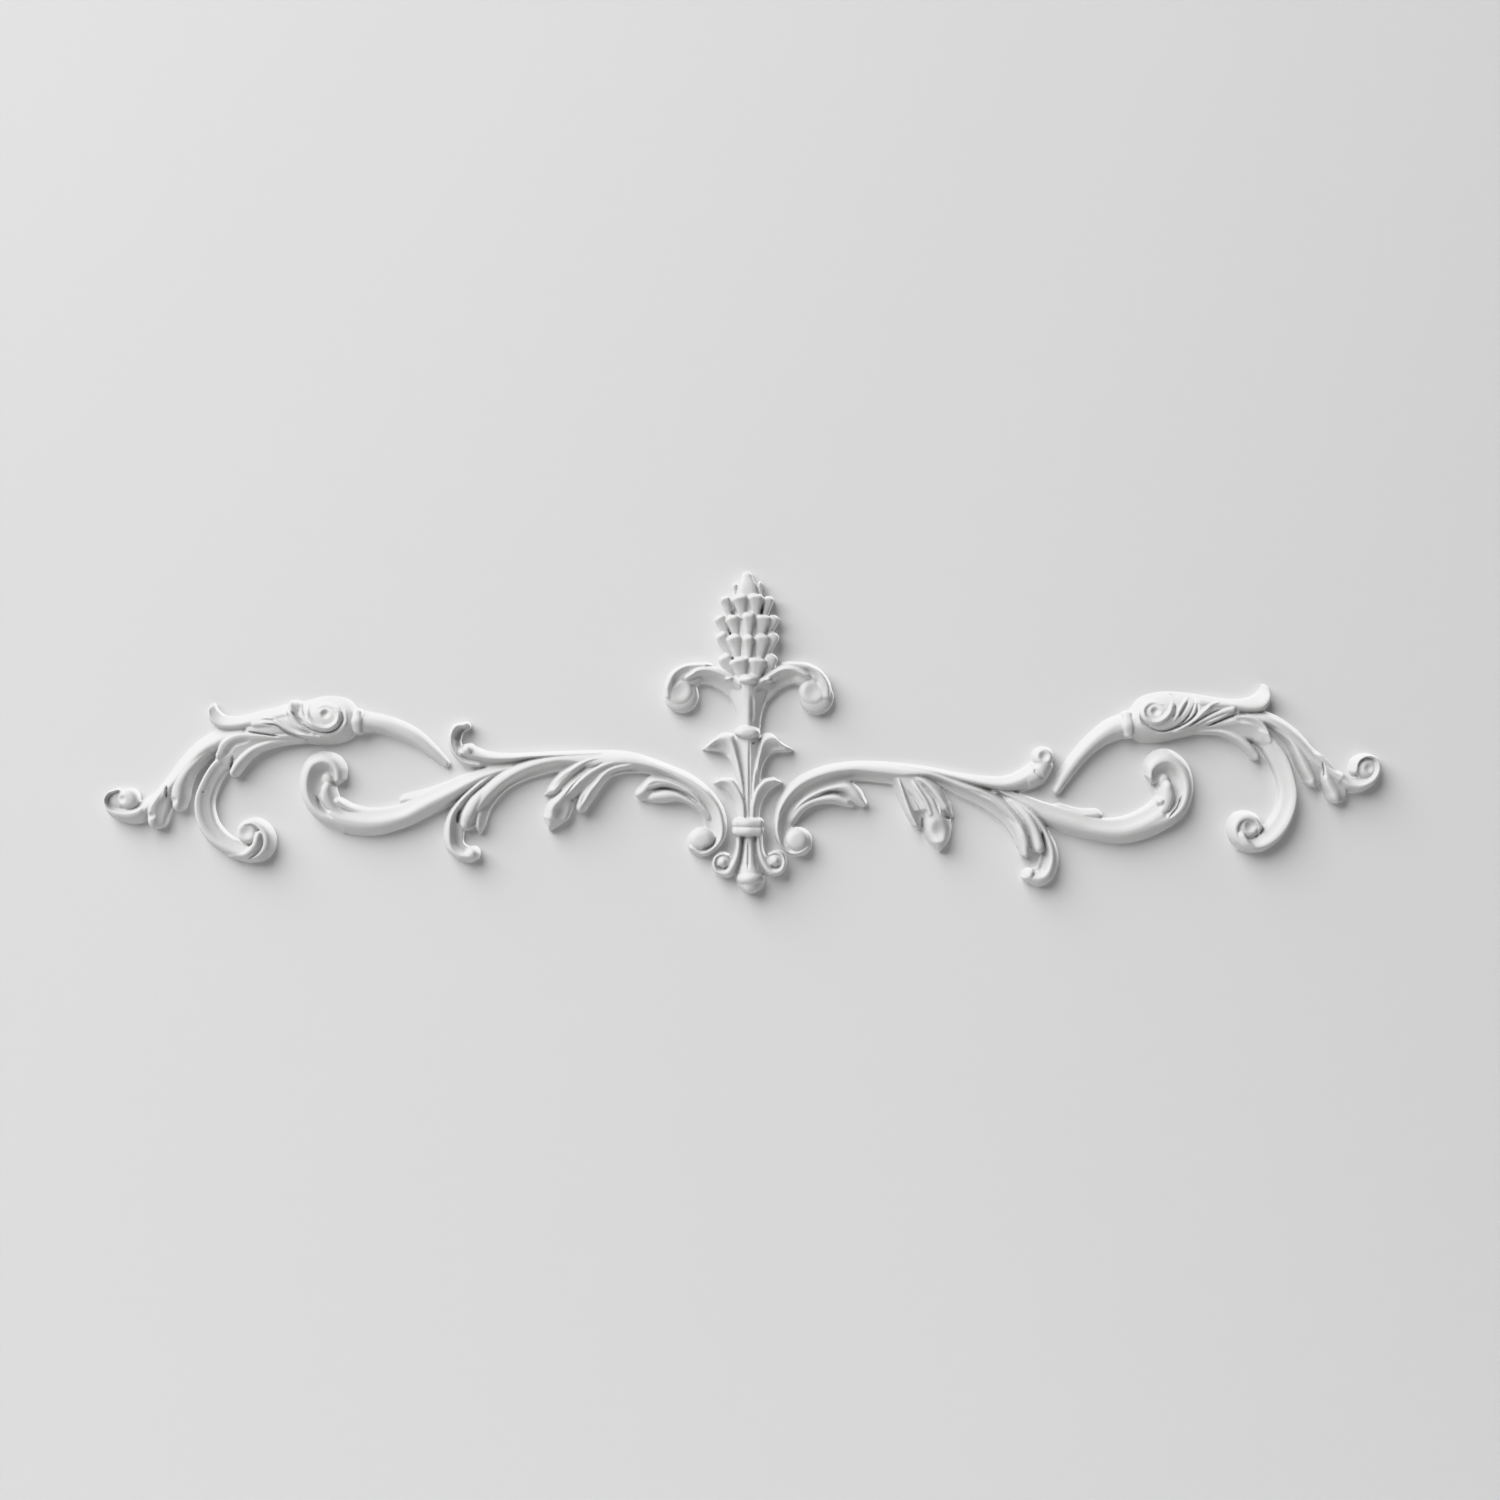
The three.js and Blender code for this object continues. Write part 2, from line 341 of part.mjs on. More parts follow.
const CENTRE = {
  cone: ["round", "round", "cut", "round", [
    [738, 684, 758, 684, 0.94 * CONE, 0.5], [731, 653, 766.5, 653, CONE, 0.5],
    [729, 614, 768, 614, CONE, 0.5], [736, 592, 760, 592, 0.96 * CONE, 0.5],
  ]],
  bud: ["round", "round", "cut", [747, 569], [
    [738.5, 604, 758.5, 604, CONE, 0.5], [738, 588, 757, 588, 1.03 * CONE, 0.5],
    [741, 577, 753, 577, 0.94 * CONE, 0.5],
  ]],
  upper_stem: ["flat", "flat", "cut", "cut", [
    [728, 681, 770, 681, 1.3, 0.5], [731, 700, 767, 698, 1.15, 0.48], [736, 714, 762, 714, 1.08, 0.46],
    [738, 732, 760, 732, 1.02, 0.45],
  ]],
  arm_left: ["round", "scoop", "cut", "round", [
    [740, 676, 741, 712, 1.15, 0.3], [708, 665, 716, 688, 1.15, 0.25],
    [696, 666, 704, 684, 1.18, 0.3], [688, 671, 695, 684, 1.15, 0.4],
  ]],
  arm_volute_left: ["round", "scoop", "cut", "round", [
    [706, 662, 704, 670, 0.9, 0.5], [685, 664, 689, 674, 1, 0.4], [671, 673, 681, 680, 1, 0.4],
    [664, 686, 678, 689, 1, 0.4], [663, 698, 678, 695, 1, 0.4], [671, 709, 682, 698, 1, 0.5],
    [684, 713, 684, 698, 1.02, 0.5], [695, 706, 686, 695, 1, 0.5], [698, 695, 687, 691, 0.95, 0.5],
  ]],
  arm_right: ["round", "scoop", "cut", "round", [
    [757, 676, 756, 712, 1.15, 0.3], [783, 664, 779, 689, 1.12, 0.25],
    [795, 664, 791, 684, 1.15, 0.3], [806, 669, 801, 684, 1.15, 0.4],
  ]],
  arm_volute_right: ["round", "scoop", "cut", "round", [
    [788, 661, 791, 669, 0.9, 0.5], [806, 662, 804, 672, 1, 0.4], [821, 670, 812, 678, 1, 0.4],
    [830, 683, 816, 687, 1, 0.4], [833, 697, 816, 694, 1, 0.45], [827, 711, 813, 699, 1, 0.5],
    [814, 715, 809, 699, 1.02, 0.5], [802, 709, 806, 697, 1, 0.5], [797.5, 698, 807, 692, 0.95, 0.5],
  ]],
  calyx_core: ["flat", "flat", "cut", "cut", [
    [737, 738, 759, 738, 1.05, 0.5], [742, 787, 755, 787, 1.02, 0.5],
    [742, 834, 755, 834, 0.9, 0.5],
  ]],
  calyx_left: ["scoop", "round", "cut", [701, 750], [
    [740, 800, 747, 796, 0.95, 0.5], [736, 780, 744, 775, 1.05, 0.55], [731, 764, 739, 752, 1.1, 0.6],
    [722, 753, 733, 734, 1.12, 0.68], [713, 751, 722, 733, 1.08, 0.7], [707, 751, 712, 740, 1, 0.6],
  ]],
  calyx_right: ["scoop", "round", "cut", [794, 750], [
    [757, 800, 750, 796, 0.95, 0.5], [760, 780, 752, 775, 1.05, 0.55], [763, 766, 757, 752, 1.1, 0.6],
    [771, 754, 762, 735, 1.12, 0.68], [781, 752, 771, 733, 1.08, 0.7], [788, 752, 780, 741, 1, 0.6],
  ]],
  lower_calyx_left: ["flat", "round", "cut", [712, 783.5], [
    [737, 820, 748, 820, 1, 0.6], [734, 804, 747, 803, 1.1, 0.65], [728, 794, 742, 790, 1.12, 0.7],
    [721, 787, 733, 779, 1.08, 0.7], [716, 785, 722, 777.5, 1, 0.6],
  ]],
  lower_calyx_right: ["flat", "round", "cut", [783, 782.5], [
    [759, 820, 748.5, 820, 1, 0.6], [761, 806, 750, 802, 1.1, 0.65], [766, 795, 755, 787, 1.12, 0.7],
    [773, 788, 763, 779, 1.08, 0.7], [778, 785, 773, 777, 1, 0.6],
  ]],
  foot_left: ["round", "round", "cut", "round", [
    [734, 830, 743, 830, 1, 0.5], [735, 850, 743, 850, 1, 0.5], [731, 862, 740, 864, 1, 0.5],
    [724, 867, 731, 877, 1, 0.5], [719, 866, 717, 876, 1, 0.5], [718, 861, 712, 865, 0.95, 0.5],
  ]],
  foot_right: ["round", "round", "cut", "round", [
    [763, 830, 754, 830, 1, 0.5], [763, 848, 755, 850, 1, 0.5], [767, 860, 758, 864, 1, 0.5],
    [773, 866, 767, 876, 1, 0.5], [779, 865, 781, 875, 1, 0.5], [780, 860, 787, 864, 0.95, 0.5],
  ]],
  drop: ["round", "round", "cut", "round", [
    [742, 830, 756, 830, 0.95, 0.5], [741, 850, 757, 850, 1.02, 0.5],
    [735, 874, 765, 874, 1.3, 0.5], [736, 880, 765, 880, 1.35, 0.5],
  ]],
};

// Eyes and knobs: [centre x, y, half width, half height, top].
const EYES = {
  left_inner: [[701, 839, 13.5, 12.5, EYE], [468, 750, 7, 7, 1.15], [469, 852, 6, 6, 1.08]],
  right_inner: [[797, 840, 12.5, 12.5, EYE], [1027, 876, 5, 6, 1.05]],
  left_outer: [[129, 798, 8.5, 9, 0.95], [246, 836, 9.5, 10, 0.5]],
  right_outer: [[1366, 768, 9, 10, 0.5], [1245, 829, 8, 10, 0.5]],
  centre: [
    [748, 681, 13, 6, CUP], [729, 679, 6.5, 4.5, 1.35], [767, 680, 6, 4.5, 1.35],
    [742, 732, 9, 7.5, 1.42], [753, 732, 7, 7, 1.32], [750, 880, 14.5, 11.5, 1.42],
    [723, 861, 8, 8, 1.15], [774, 860, 8, 8, 1.15], [683, 693, 10, 10, 0.55], [813, 694, 10, 10, 0.55],
  ],
};

// The pine cone's scales in rows, from the top: [tip y, root y, tip x of each scale, half width of a scale].
const CONE_AXIS_X = 748.5;
const CONE_SCALE_ROWS = [
  { tip: 597, root: 622, across: [740, 756.5], half: 7.5 },
  { tip: 617, root: 642, across: [734.5, 748.5, 763.5], half: 6.5 },
  { tip: 637, root: 662, across: [735, 748.5, 763.5], half: 6.5 },
  { tip: 659, root: 680, across: [739.5, 758.5], half: 8.5 },
];
const CONE_SIDE_TIPS = [
  { tip: [736, 583], root: [741, 600] }, { tip: [761, 581], root: [756, 599] },
  { tip: [721, 598], root: [733, 619] }, { tip: [774, 598], root: [762, 620] },
  { tip: [713, 618], root: [730, 641] }, { tip: [781, 618], root: [766, 641] },
  { tip: [714, 635], root: [732, 661] }, { tip: [781, 634], root: [765, 661] },
  { tip: [716, 657], root: [735, 678] }, { tip: [779, 656], root: [761, 678] },
];
const SCALE_LIFT = 1.12; // how far a scale's lip stands above the cone's body, as a share of it
const SCALE_ROOT = 0.9; // how high a scale's root lies, as a share of the cone's body
const SCALE_GATHER = 0.55; // how far a scale's root is drawn in towards the cone's axis
const SCALE_FALL = 0.12; // how much lower a scale lies for each half width away from the axis
const SCALE_ROOT_HALF = 0.7; // half width of the root, as a share of the scale's
const SCALE_LIP_HALF = 0.85; // half width at the lip, as a share of the scale's
const SCALE_LIP_BACK = 0.7; // how far the lip lies below the tip, as a share of the half width
const SIDE_TIP_HALF = 4.5; // half width of the pointed scales at the cone's sides
const SIDE_TIP_BEND = [0.45, 0.6]; // where they turn outwards, as shares of their reach across and up
const SIDE_TIP_NECK = { back: 0.1, half: 3, drop: 4, slant: 1 }; // the last section before the point
const SIDE_TIP_TOPS = [0.8, 0.85, 0.75]; // heights along them, as shares of the cone's body
const TIE_END_TOP = 0.88; // height of a tie band at its ends, as a share of its middle

// Half section of a knob, from its rim to its top: [share of the half width, share of the height].
const DOME = [[1, 0], [0.8, 0.76], [0, 1]];

const PLASTER = { color: 0xf0efec, roughness: 0.72, metalness: 0 };

// A place on the sheet, and a height off the wall as a share of BAND_RELIEF, as a point of the model.
function place(x, y, share) {
  return [
    (x - TIE_ON_SHEET[0]) * SQUARE,
    -share * BAND_RELIEF,
    (TIE_ON_SHEET[1] - y) * SQUARE,
  ];
}

// A closed solid from points and triangles, with its faces turned outwards.
function solidOf(points, triangles) {
  const geometry = new THREE.BufferGeometry();
  geometry.setAttribute("position", new THREE.Float32BufferAttribute(points.flat(), 3));
  geometry.setIndex(triangles.flat());
  const merged = mergeVertices(geometry, 1e-4);
  const vertProperties = merged.attributes.position.array;
  const triVerts = new Uint32Array(merged.index.array);
  const solid = new wasm.Manifold(new wasm.Mesh({ numProp: 3, vertProperties, triVerts }));
  if (solid.volume() > 0) return solid;
  const turned = triVerts.slice().reverse();
  return new wasm.Manifold(new wasm.Mesh({ numProp: 3, vertProperties, triVerts: turned }));
}

// One cross-section as points from the foot of side A over the crest to the foot of side B.
function sectionAt(station, sideA, sideB) {
  const [ax, ay, bx, by, crest, ridge] = station;
  const rising = SIDES[sideA].map(([along, high]) => [along * ridge, high]);
  const falling = SIDES[sideB].slice(0, -1).reverse().map(([along, high]) => [1 - along * (1 - ridge), high]);
  return [...rising, ...falling].map(([across, high]) =>
    place(ax + (bx - ax) * across, ay + (by - ay) * across, high * crest));
}

// Stations joined by smooth curves and spaced no further apart than SECTION_STEP.
function smoothStations(stations) {
  const edgeA = new THREE.CatmullRomCurve3(stations.map((s) => new THREE.Vector3(s[0], s[1], s[4])));
  const edgeB = new THREE.CatmullRomCurve3(stations.map((s) => new THREE.Vector3(s[2], s[3], s[5])));
  const spans = stations.length - 1;
  const smooth = [];
  for (let i = 0; i < spans; i++) {
    const [a, b] = [stations[i], stations[i + 1]];
    const lengthA = Math.hypot(b[0] - a[0], b[1] - a[1]);
    const lengthB = Math.hypot(b[2] - a[2], b[3] - a[3]);
    const steps = Math.max(1, Math.round(Math.max(lengthA, lengthB) * SQUARE / SECTION_STEP));
    for (let k = 0; k < steps; k++) {
      const t = (i + k / steps) / spans;
      const [pa, pb] = [edgeA.getPoint(t), edgeB.getPoint(t)];
      smooth.push([pa.x, pa.y, pb.x, pb.y, pa.z, pb.z]);
    }
  }
  smooth.push(stations[spans]);
  return smooth;
}

// Extra stations that round the end of a band, and the point on the wall where it closes.
function roundEnd(last, before) {
  const [ax, ay, bx, by, crest, ridge] = last;
  const middle = [(ax + bx) / 2, (ay + by) / 2];
  const half = [(bx - ax) / 2, (by - ay) / 2];
  const run = [middle[0] - (before[0] + before[2]) / 2, middle[1] - (before[1] + before[3]) / 2];
  const side = Math.sign(run[0] * -half[1] + run[1] * half[0]) || 1;
  const forward = [-half[1] * side, half[0] * side];
  const stations = [];
  for (let k = 1; k <= CAP_STEPS; k++) {
    const turn = (k / (CAP_STEPS + 1)) * (Math.PI / 2);
    const [cos, sin] = [Math.cos(turn), Math.sin(turn)];
    const at = [middle[0] + forward[0] * sin, middle[1] + forward[1] * sin];
    stations.push([
      at[0] - half[0] * cos, at[1] - half[1] * cos, at[0] + half[0] * cos, at[1] + half[1] * cos,
      crest * (CAP_TOP + (1 - CAP_TOP) * cos), ridge,
    ]);
  }
  return { stations, tip: [middle[0] + forward[0], middle[1] + forward[1]] };
}

// The closing of one end: a flat cut across the band, or a fan of triangles to the tip's point.
function closing(kind, last, before) {
  if (kind === "cut") return { stations: [], tip: null };
  if (kind === "round") return roundEnd(last, before);
  return { stations: [], tip: kind };
}

// A band: cross-sections joined along its stations, with its ends closed.
function band([sideA, sideB, start, end, stations]) {
  const smooth = smoothStations(stations);
  const head = closing(start, smooth[0], smooth[1]);
  const tail = closing(end, smooth[smooth.length - 1], smooth[smooth.length - 2]);
  const run = [...head.stations.reverse(), ...smooth, ...tail.stations];
  const rings = run.map((station) => sectionAt(station, sideA, sideB));
  const around = rings[0].length;
  const points = rings.flat();
  const triangles = [];
  for (let i = 0; i + 1 < rings.length; i++)
    for (let k = 0; k < around; k++) {
      const next = (k + 1) % around;
      const [a, b] = [i * around + k, i * around + next];
      triangles.push([a, b, b + around], [a, b + around, a + around]);
    }
  closeEnd(points, triangles, rings[0], 0, head.tip, true);
  closeEnd(points, triangles, rings[rings.length - 1], (rings.length - 1) * around, tail.tip, false);
  return solidOf(points, triangles);
}

// Adds the triangles that close one end of a band: a fan to the tip, or a flat cut.
function closeEnd(points, triangles, ring, first, tip, atStart) {
  const faces = tip ? fanFaces(points, ring, first, tip) : cutFaces(ring, first);
  for (const face of faces) triangles.push(atStart ? face.reverse() : face);
}

function fanFaces(points, ring, first, tip) {
  points.push(place(tip[0], tip[1], 0));
  const apex = points.length - 1;
  return ring.map((_, k) => [first + k, first + ((k + 1) % ring.length), apex]);
}

// The flat cut across a band, with every triangle running round the way the ring does.
function cutFaces(ring, first) {
  const [from, to] = [ring[0], ring[ring.length - 1]];
  const along = new THREE.Vector2(to[0] - from[0], to[2] - from[2]).normalize();
  const flat = ring.map(([x, y, z]) =>
    new THREE.Vector2(along.x * (x - from[0]) + along.y * (z - from[2]), -y));
  const turn = THREE.ShapeUtils.area(flat);
  return THREE.ShapeUtils.triangulateShape(flat, []).map((face) => {
    const own = THREE.ShapeUtils.area(face.map((k) => flat[k]));
    const placed = face.map((k) => first + k);
    return own * turn > 0 ? placed : placed.reverse();
  });
}

// A round or oval knob: a low dome on the wall face.
function knob([x, y, halfWidth, halfHeight, top]) {
  const rings = DOME.slice(0, -1).map(([out, high]) => {
    const ring = [];
    for (let k = 0; k < EYE_SIDES; k++) {
      const turn = (k / EYE_SIDES) * 2 * Math.PI;
      const [right, down] = [halfWidth * out * Math.cos(turn), halfHeight * out * Math.sin(turn)];
      ring.push(place(x + right, y + down, high * top));
    }
    return ring;
  });
  const points = [...rings.flat(), place(x, y, top), place(x, y, 0)];
  const [apex, base] = [points.length - 2, points.length - 1];
  const triangles = [];
  for (let k = 0; k < EYE_SIDES; k++) {
    const next = (k + 1) % EYE_SIDES;
    for (let i = 0; i + 1 < rings.length; i++) {
      const [a, b] = [i * EYE_SIDES + k, i * EYE_SIDES + next];
      triangles.push([a, b, b + EYE_SIDES], [a, b + EYE_SIDES, a + EYE_SIDES]);
    }
    const last = (rings.length - 1) * EYE_SIDES;
    triangles.push([last + k, last + next, apex], [next, k, base]);
  }
  return solidOf(points, triangles);
}

// The cone's scales: upright ones with a raised lip, and pointed ones that curl out at the sides.
function coneScales() {
  const scales = [];
  for (const { tip, root, across, half } of CONE_SCALE_ROWS)
    for (const x of across) {
      const rootX = CONE_AXIS_X + (x - CONE_AXIS_X) * SCALE_GATHER;
      const body = CONE * (1 - SCALE_FALL * Math.abs(x - CONE_AXIS_X) / half);
      scales.push(band(["hollow", "hollow", "cut", "round", [
        level(rootX, root, half * SCALE_ROOT_HALF, body * SCALE_ROOT),
        level(x, tip + half * SCALE_LIP_BACK, half * SCALE_LIP_HALF, body * SCALE_LIFT),
      ]]));
    }
  for (const { tip, root } of CONE_SIDE_TIPS) {
    const lean = [tip[0] - root[0], tip[1] - root[1]];
    const bend = [root[0] + lean[0] * SIDE_TIP_BEND[0], root[1] + lean[1] * SIDE_TIP_BEND[1]];
    const { back, half, drop, slant } = SIDE_TIP_NECK;
    const tops = SIDE_TIP_TOPS.map((share) => CONE * share);
    scales.push(band(["slope", "slope", "cut", tip, [
      level(root[0], root[1], SIDE_TIP_HALF, tops[0]),
      level(bend[0], bend[1], SIDE_TIP_HALF, tops[1], slant),
      level(tip[0] - lean[0] * back, tip[1] + drop, half, tops[2], slant),
    ]]));
  }
  return scales;
}

// A station that lies level across the sheet, or with its ends slanted down and up by a little.
function level(x, y, half, crest, slant = 0) {
  return [x - half, y - slant, x + half, y + slant, crest, 0.5];
}

// The tie: two rounded bands across the stem, one above the other.
function tieBands() {
  const height = TIE_BAND_HEIGHT / SQUARE;
  const lap = TIE_LAP / SQUARE;
  const reach = (TIE_WIDTH / SQUARE - height) / 2;
  const [middle, joint] = TIE_ON_SHEET;
  const upright = (x, top, crest) => [x, top, x, top + height, crest, 0.5];
  return [joint - height + lap, joint - lap].map((top) => band(["round", "round", "round", "round", [
    upright(middle - reach, top, TIE * TIE_END_TOP),
    upright(middle, top, TIE),
    upright(middle + reach, top, TIE * TIE_END_TOP),
  ]]));
}

// One casting: all its forms joined, as a named mesh.
function casting(name, forms) {
  const joined = forms.reduce((whole, form) => whole.add(form));
  const { vertProperties, triVerts } = joined.getMesh();
  const geometry = new THREE.BufferGeometry();
  geometry.setAttribute("position", new THREE.Float32BufferAttribute(vertProperties, 3));
  geometry.setIndex(new THREE.Uint32BufferAttribute(triVerts, 1));
  geometry.computeVertexNormals();
  const mesh = new THREE.Mesh(geometry, new THREE.MeshStandardMaterial(PLASTER));
  mesh.name = name;
  return mesh;
}

const bandsOf = (table) => Object.values(table).map(band);

const ornament = new THREE.Group();
ornament.add(casting("centre_finial", [
  ...bandsOf(CENTRE), ...coneScales(), ...tieBands(), ...EYES.centre.map(knob),
]));
ornament.add(casting("left_inner_scroll", [...bandsOf(LEFT_INNER), ...EYES.left_inner.map(knob)]));
ornament.add(casting("right_inner_scroll", [...bandsOf(RIGHT_INNER), ...EYES.right_inner.map(knob)]));
ornament.add(casting("left_outer_scroll", [...bandsOf(LEFT_OUTER), ...EYES.left_outer.map(knob)]));
ornament.add(casting("right_outer_scroll", [...bandsOf(RIGHT_OUTER), ...EYES.right_outer.map(knob)]));

export default ornament;
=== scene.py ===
# Scrollwork ornament in white casting plaster, fixed flat on a pale wall.
# The forms are drawn on a sheet of squares, x to the right and y down, and stand out of the wall towards -Y.
import math

import bmesh
import bpy
import numpy as np
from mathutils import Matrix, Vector


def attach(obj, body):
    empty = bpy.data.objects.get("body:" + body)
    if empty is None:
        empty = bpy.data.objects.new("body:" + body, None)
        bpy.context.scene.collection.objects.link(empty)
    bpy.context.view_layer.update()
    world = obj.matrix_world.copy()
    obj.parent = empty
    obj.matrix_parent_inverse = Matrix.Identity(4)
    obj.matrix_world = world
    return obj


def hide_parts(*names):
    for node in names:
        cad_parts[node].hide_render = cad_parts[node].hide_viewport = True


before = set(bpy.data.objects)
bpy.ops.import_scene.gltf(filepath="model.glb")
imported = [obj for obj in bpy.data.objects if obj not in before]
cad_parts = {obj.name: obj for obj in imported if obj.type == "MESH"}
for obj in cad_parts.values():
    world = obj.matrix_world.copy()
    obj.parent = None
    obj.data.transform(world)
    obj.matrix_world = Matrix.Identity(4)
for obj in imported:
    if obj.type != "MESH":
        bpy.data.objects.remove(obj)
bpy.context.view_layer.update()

# Driving sizes, in metres
ORNAMENT_WIDTH = 0.958
BAND_RELIEF = 0.0125
EYE_RELIEF = 0.0135
CONE_RELIEF = 0.018
CUP_RELIEF = 0.021
TIE_RELIEF = 0.018
TIE_BAND_HEIGHT = 0.0075
TIE_WIDTH = 0.024
TIE_LAP = 0.0008
GRAIN = 0.00058  # size of the cells that the joined forms are remade in
SOFTENING = 0.5  # factor of each pass that smooths the joins
SOFTENING_PASSES = 2
FACES_KEPT = 0.7
BURIED = 0.003  # how far the forms run on behind the wall face before they are cut flat on it

# The sheet: DRAWN_WIDTH squares from end volute to end volute, with the tie's middle at TIE_ON_SHEET
DRAWN_WIDTH = 1277
TIE_ON_SHEET = (748, 828)
TIE_RISE = 1.2  # squares from the tie's middle up to the joint of its two bands
SHEET_MIDDLE = (750, 750)
SHEET_SIDE = 1500
SQUARE = ORNAMENT_WIDTH / DRAWN_WIDTH

# Tall forms as shares of BAND_RELIEF, as the tables give every height
EYE = EYE_RELIEF / BAND_RELIEF
CONE = CONE_RELIEF / BAND_RELIEF
CUP = CUP_RELIEF / BAND_RELIEF
TIE = TIE_RELIEF / BAND_RELIEF
TIE_SIDES = TIE * 0.9

# Half sections: (how far across from the foot of a side to the crest, height as a share of the crest's)
SIDES = {
    "round": [(0, 0), (0.01, 0.14), (0.25, 0.58), (0.45, 0.82), (0.62, 0.94), (0.8, 0.99), (1, 1)],
    "bead": [(0, 0), (0.03, 0.74), (0.12, 0.86), (0.28, 0.93), (0.55, 0.985), (1, 1)],
    "flat": [(0, 0), (0.04, 0.34), (0.12, 0.5), (0.4, 0.7), (0.75, 0.94), (1, 1)],
    "scoop": [(0, 0), (0.01, 0.3), (0.05, 0.43), (0.2, 0.4), (0.42, 0.43), (0.6, 0.55), (0.8, 0.82), (1, 1)],
    "dish": [(0, 0), (0.01, 0.3), (0.06, 0.52), (0.16, 0.66), (0.35, 0.71), (0.6, 0.8), (0.8, 0.94), (1, 1)],
}
SIDE_POINTS = 9  # points along a half section
SIDE_CROWDING = 1.6  # how close to the foot of the side they crowd: 1 is evenly
HALFWAY = 0.5
STATION_STEP = 2.5  # squares between cross-sections
LEAST_GAP = 1e-4  # stands in for the gap between two points of a curve that coincide
CAP_STEPS = 6  # cross-sections that round an end or draw it out to its tip
CAP_TURN = 86  # degrees that a round end turns through
CAP_DROP = 0.4  # the smaller, the later its crest falls
TIP_REACH = 0.97  # a pointed end stops just short of its tip, which is at 1
TIP_NARROWING = 0.8
TIP_DROP = 0.45
SINK = 7  # squares that a cut end runs on while it sinks into the form it grows from
SINK_STEPS = 3
SINK_NARROWING = 0.35
SINK_DROP = 0.5
KNOB_SIDES = 28
KNOB_RINGS = (1, 0.985, 0.95, 0.88, 0.77, 0.6, 0.4, 0.15)  # as shares of a knob's half width
KNOB_FOOT = -0.24  # how far a knob runs on behind the wall face, as a share of its top
DOME = 2.2  # how square a knob's section is: 2 is a half round
DISC = 3.4
CARVE_FLOOR = 0.0012  # nothing lower than this above the wall is carved
STROKE_END = 0.4  # width of a stroke at its ends, as a share of its full width
FADE = 4  # how fast a stroke comes up to its full width and depth from either end
FADE_START = 0.25  # depth of a stroke at its ends, as a share of its full depth
BACK_NORMAL = 0.99  # a face of the flat back looks at the wall at least as squarely as this
BACK_DEPTH = 0.0001  # and its middle lies less than this in front of the wall face

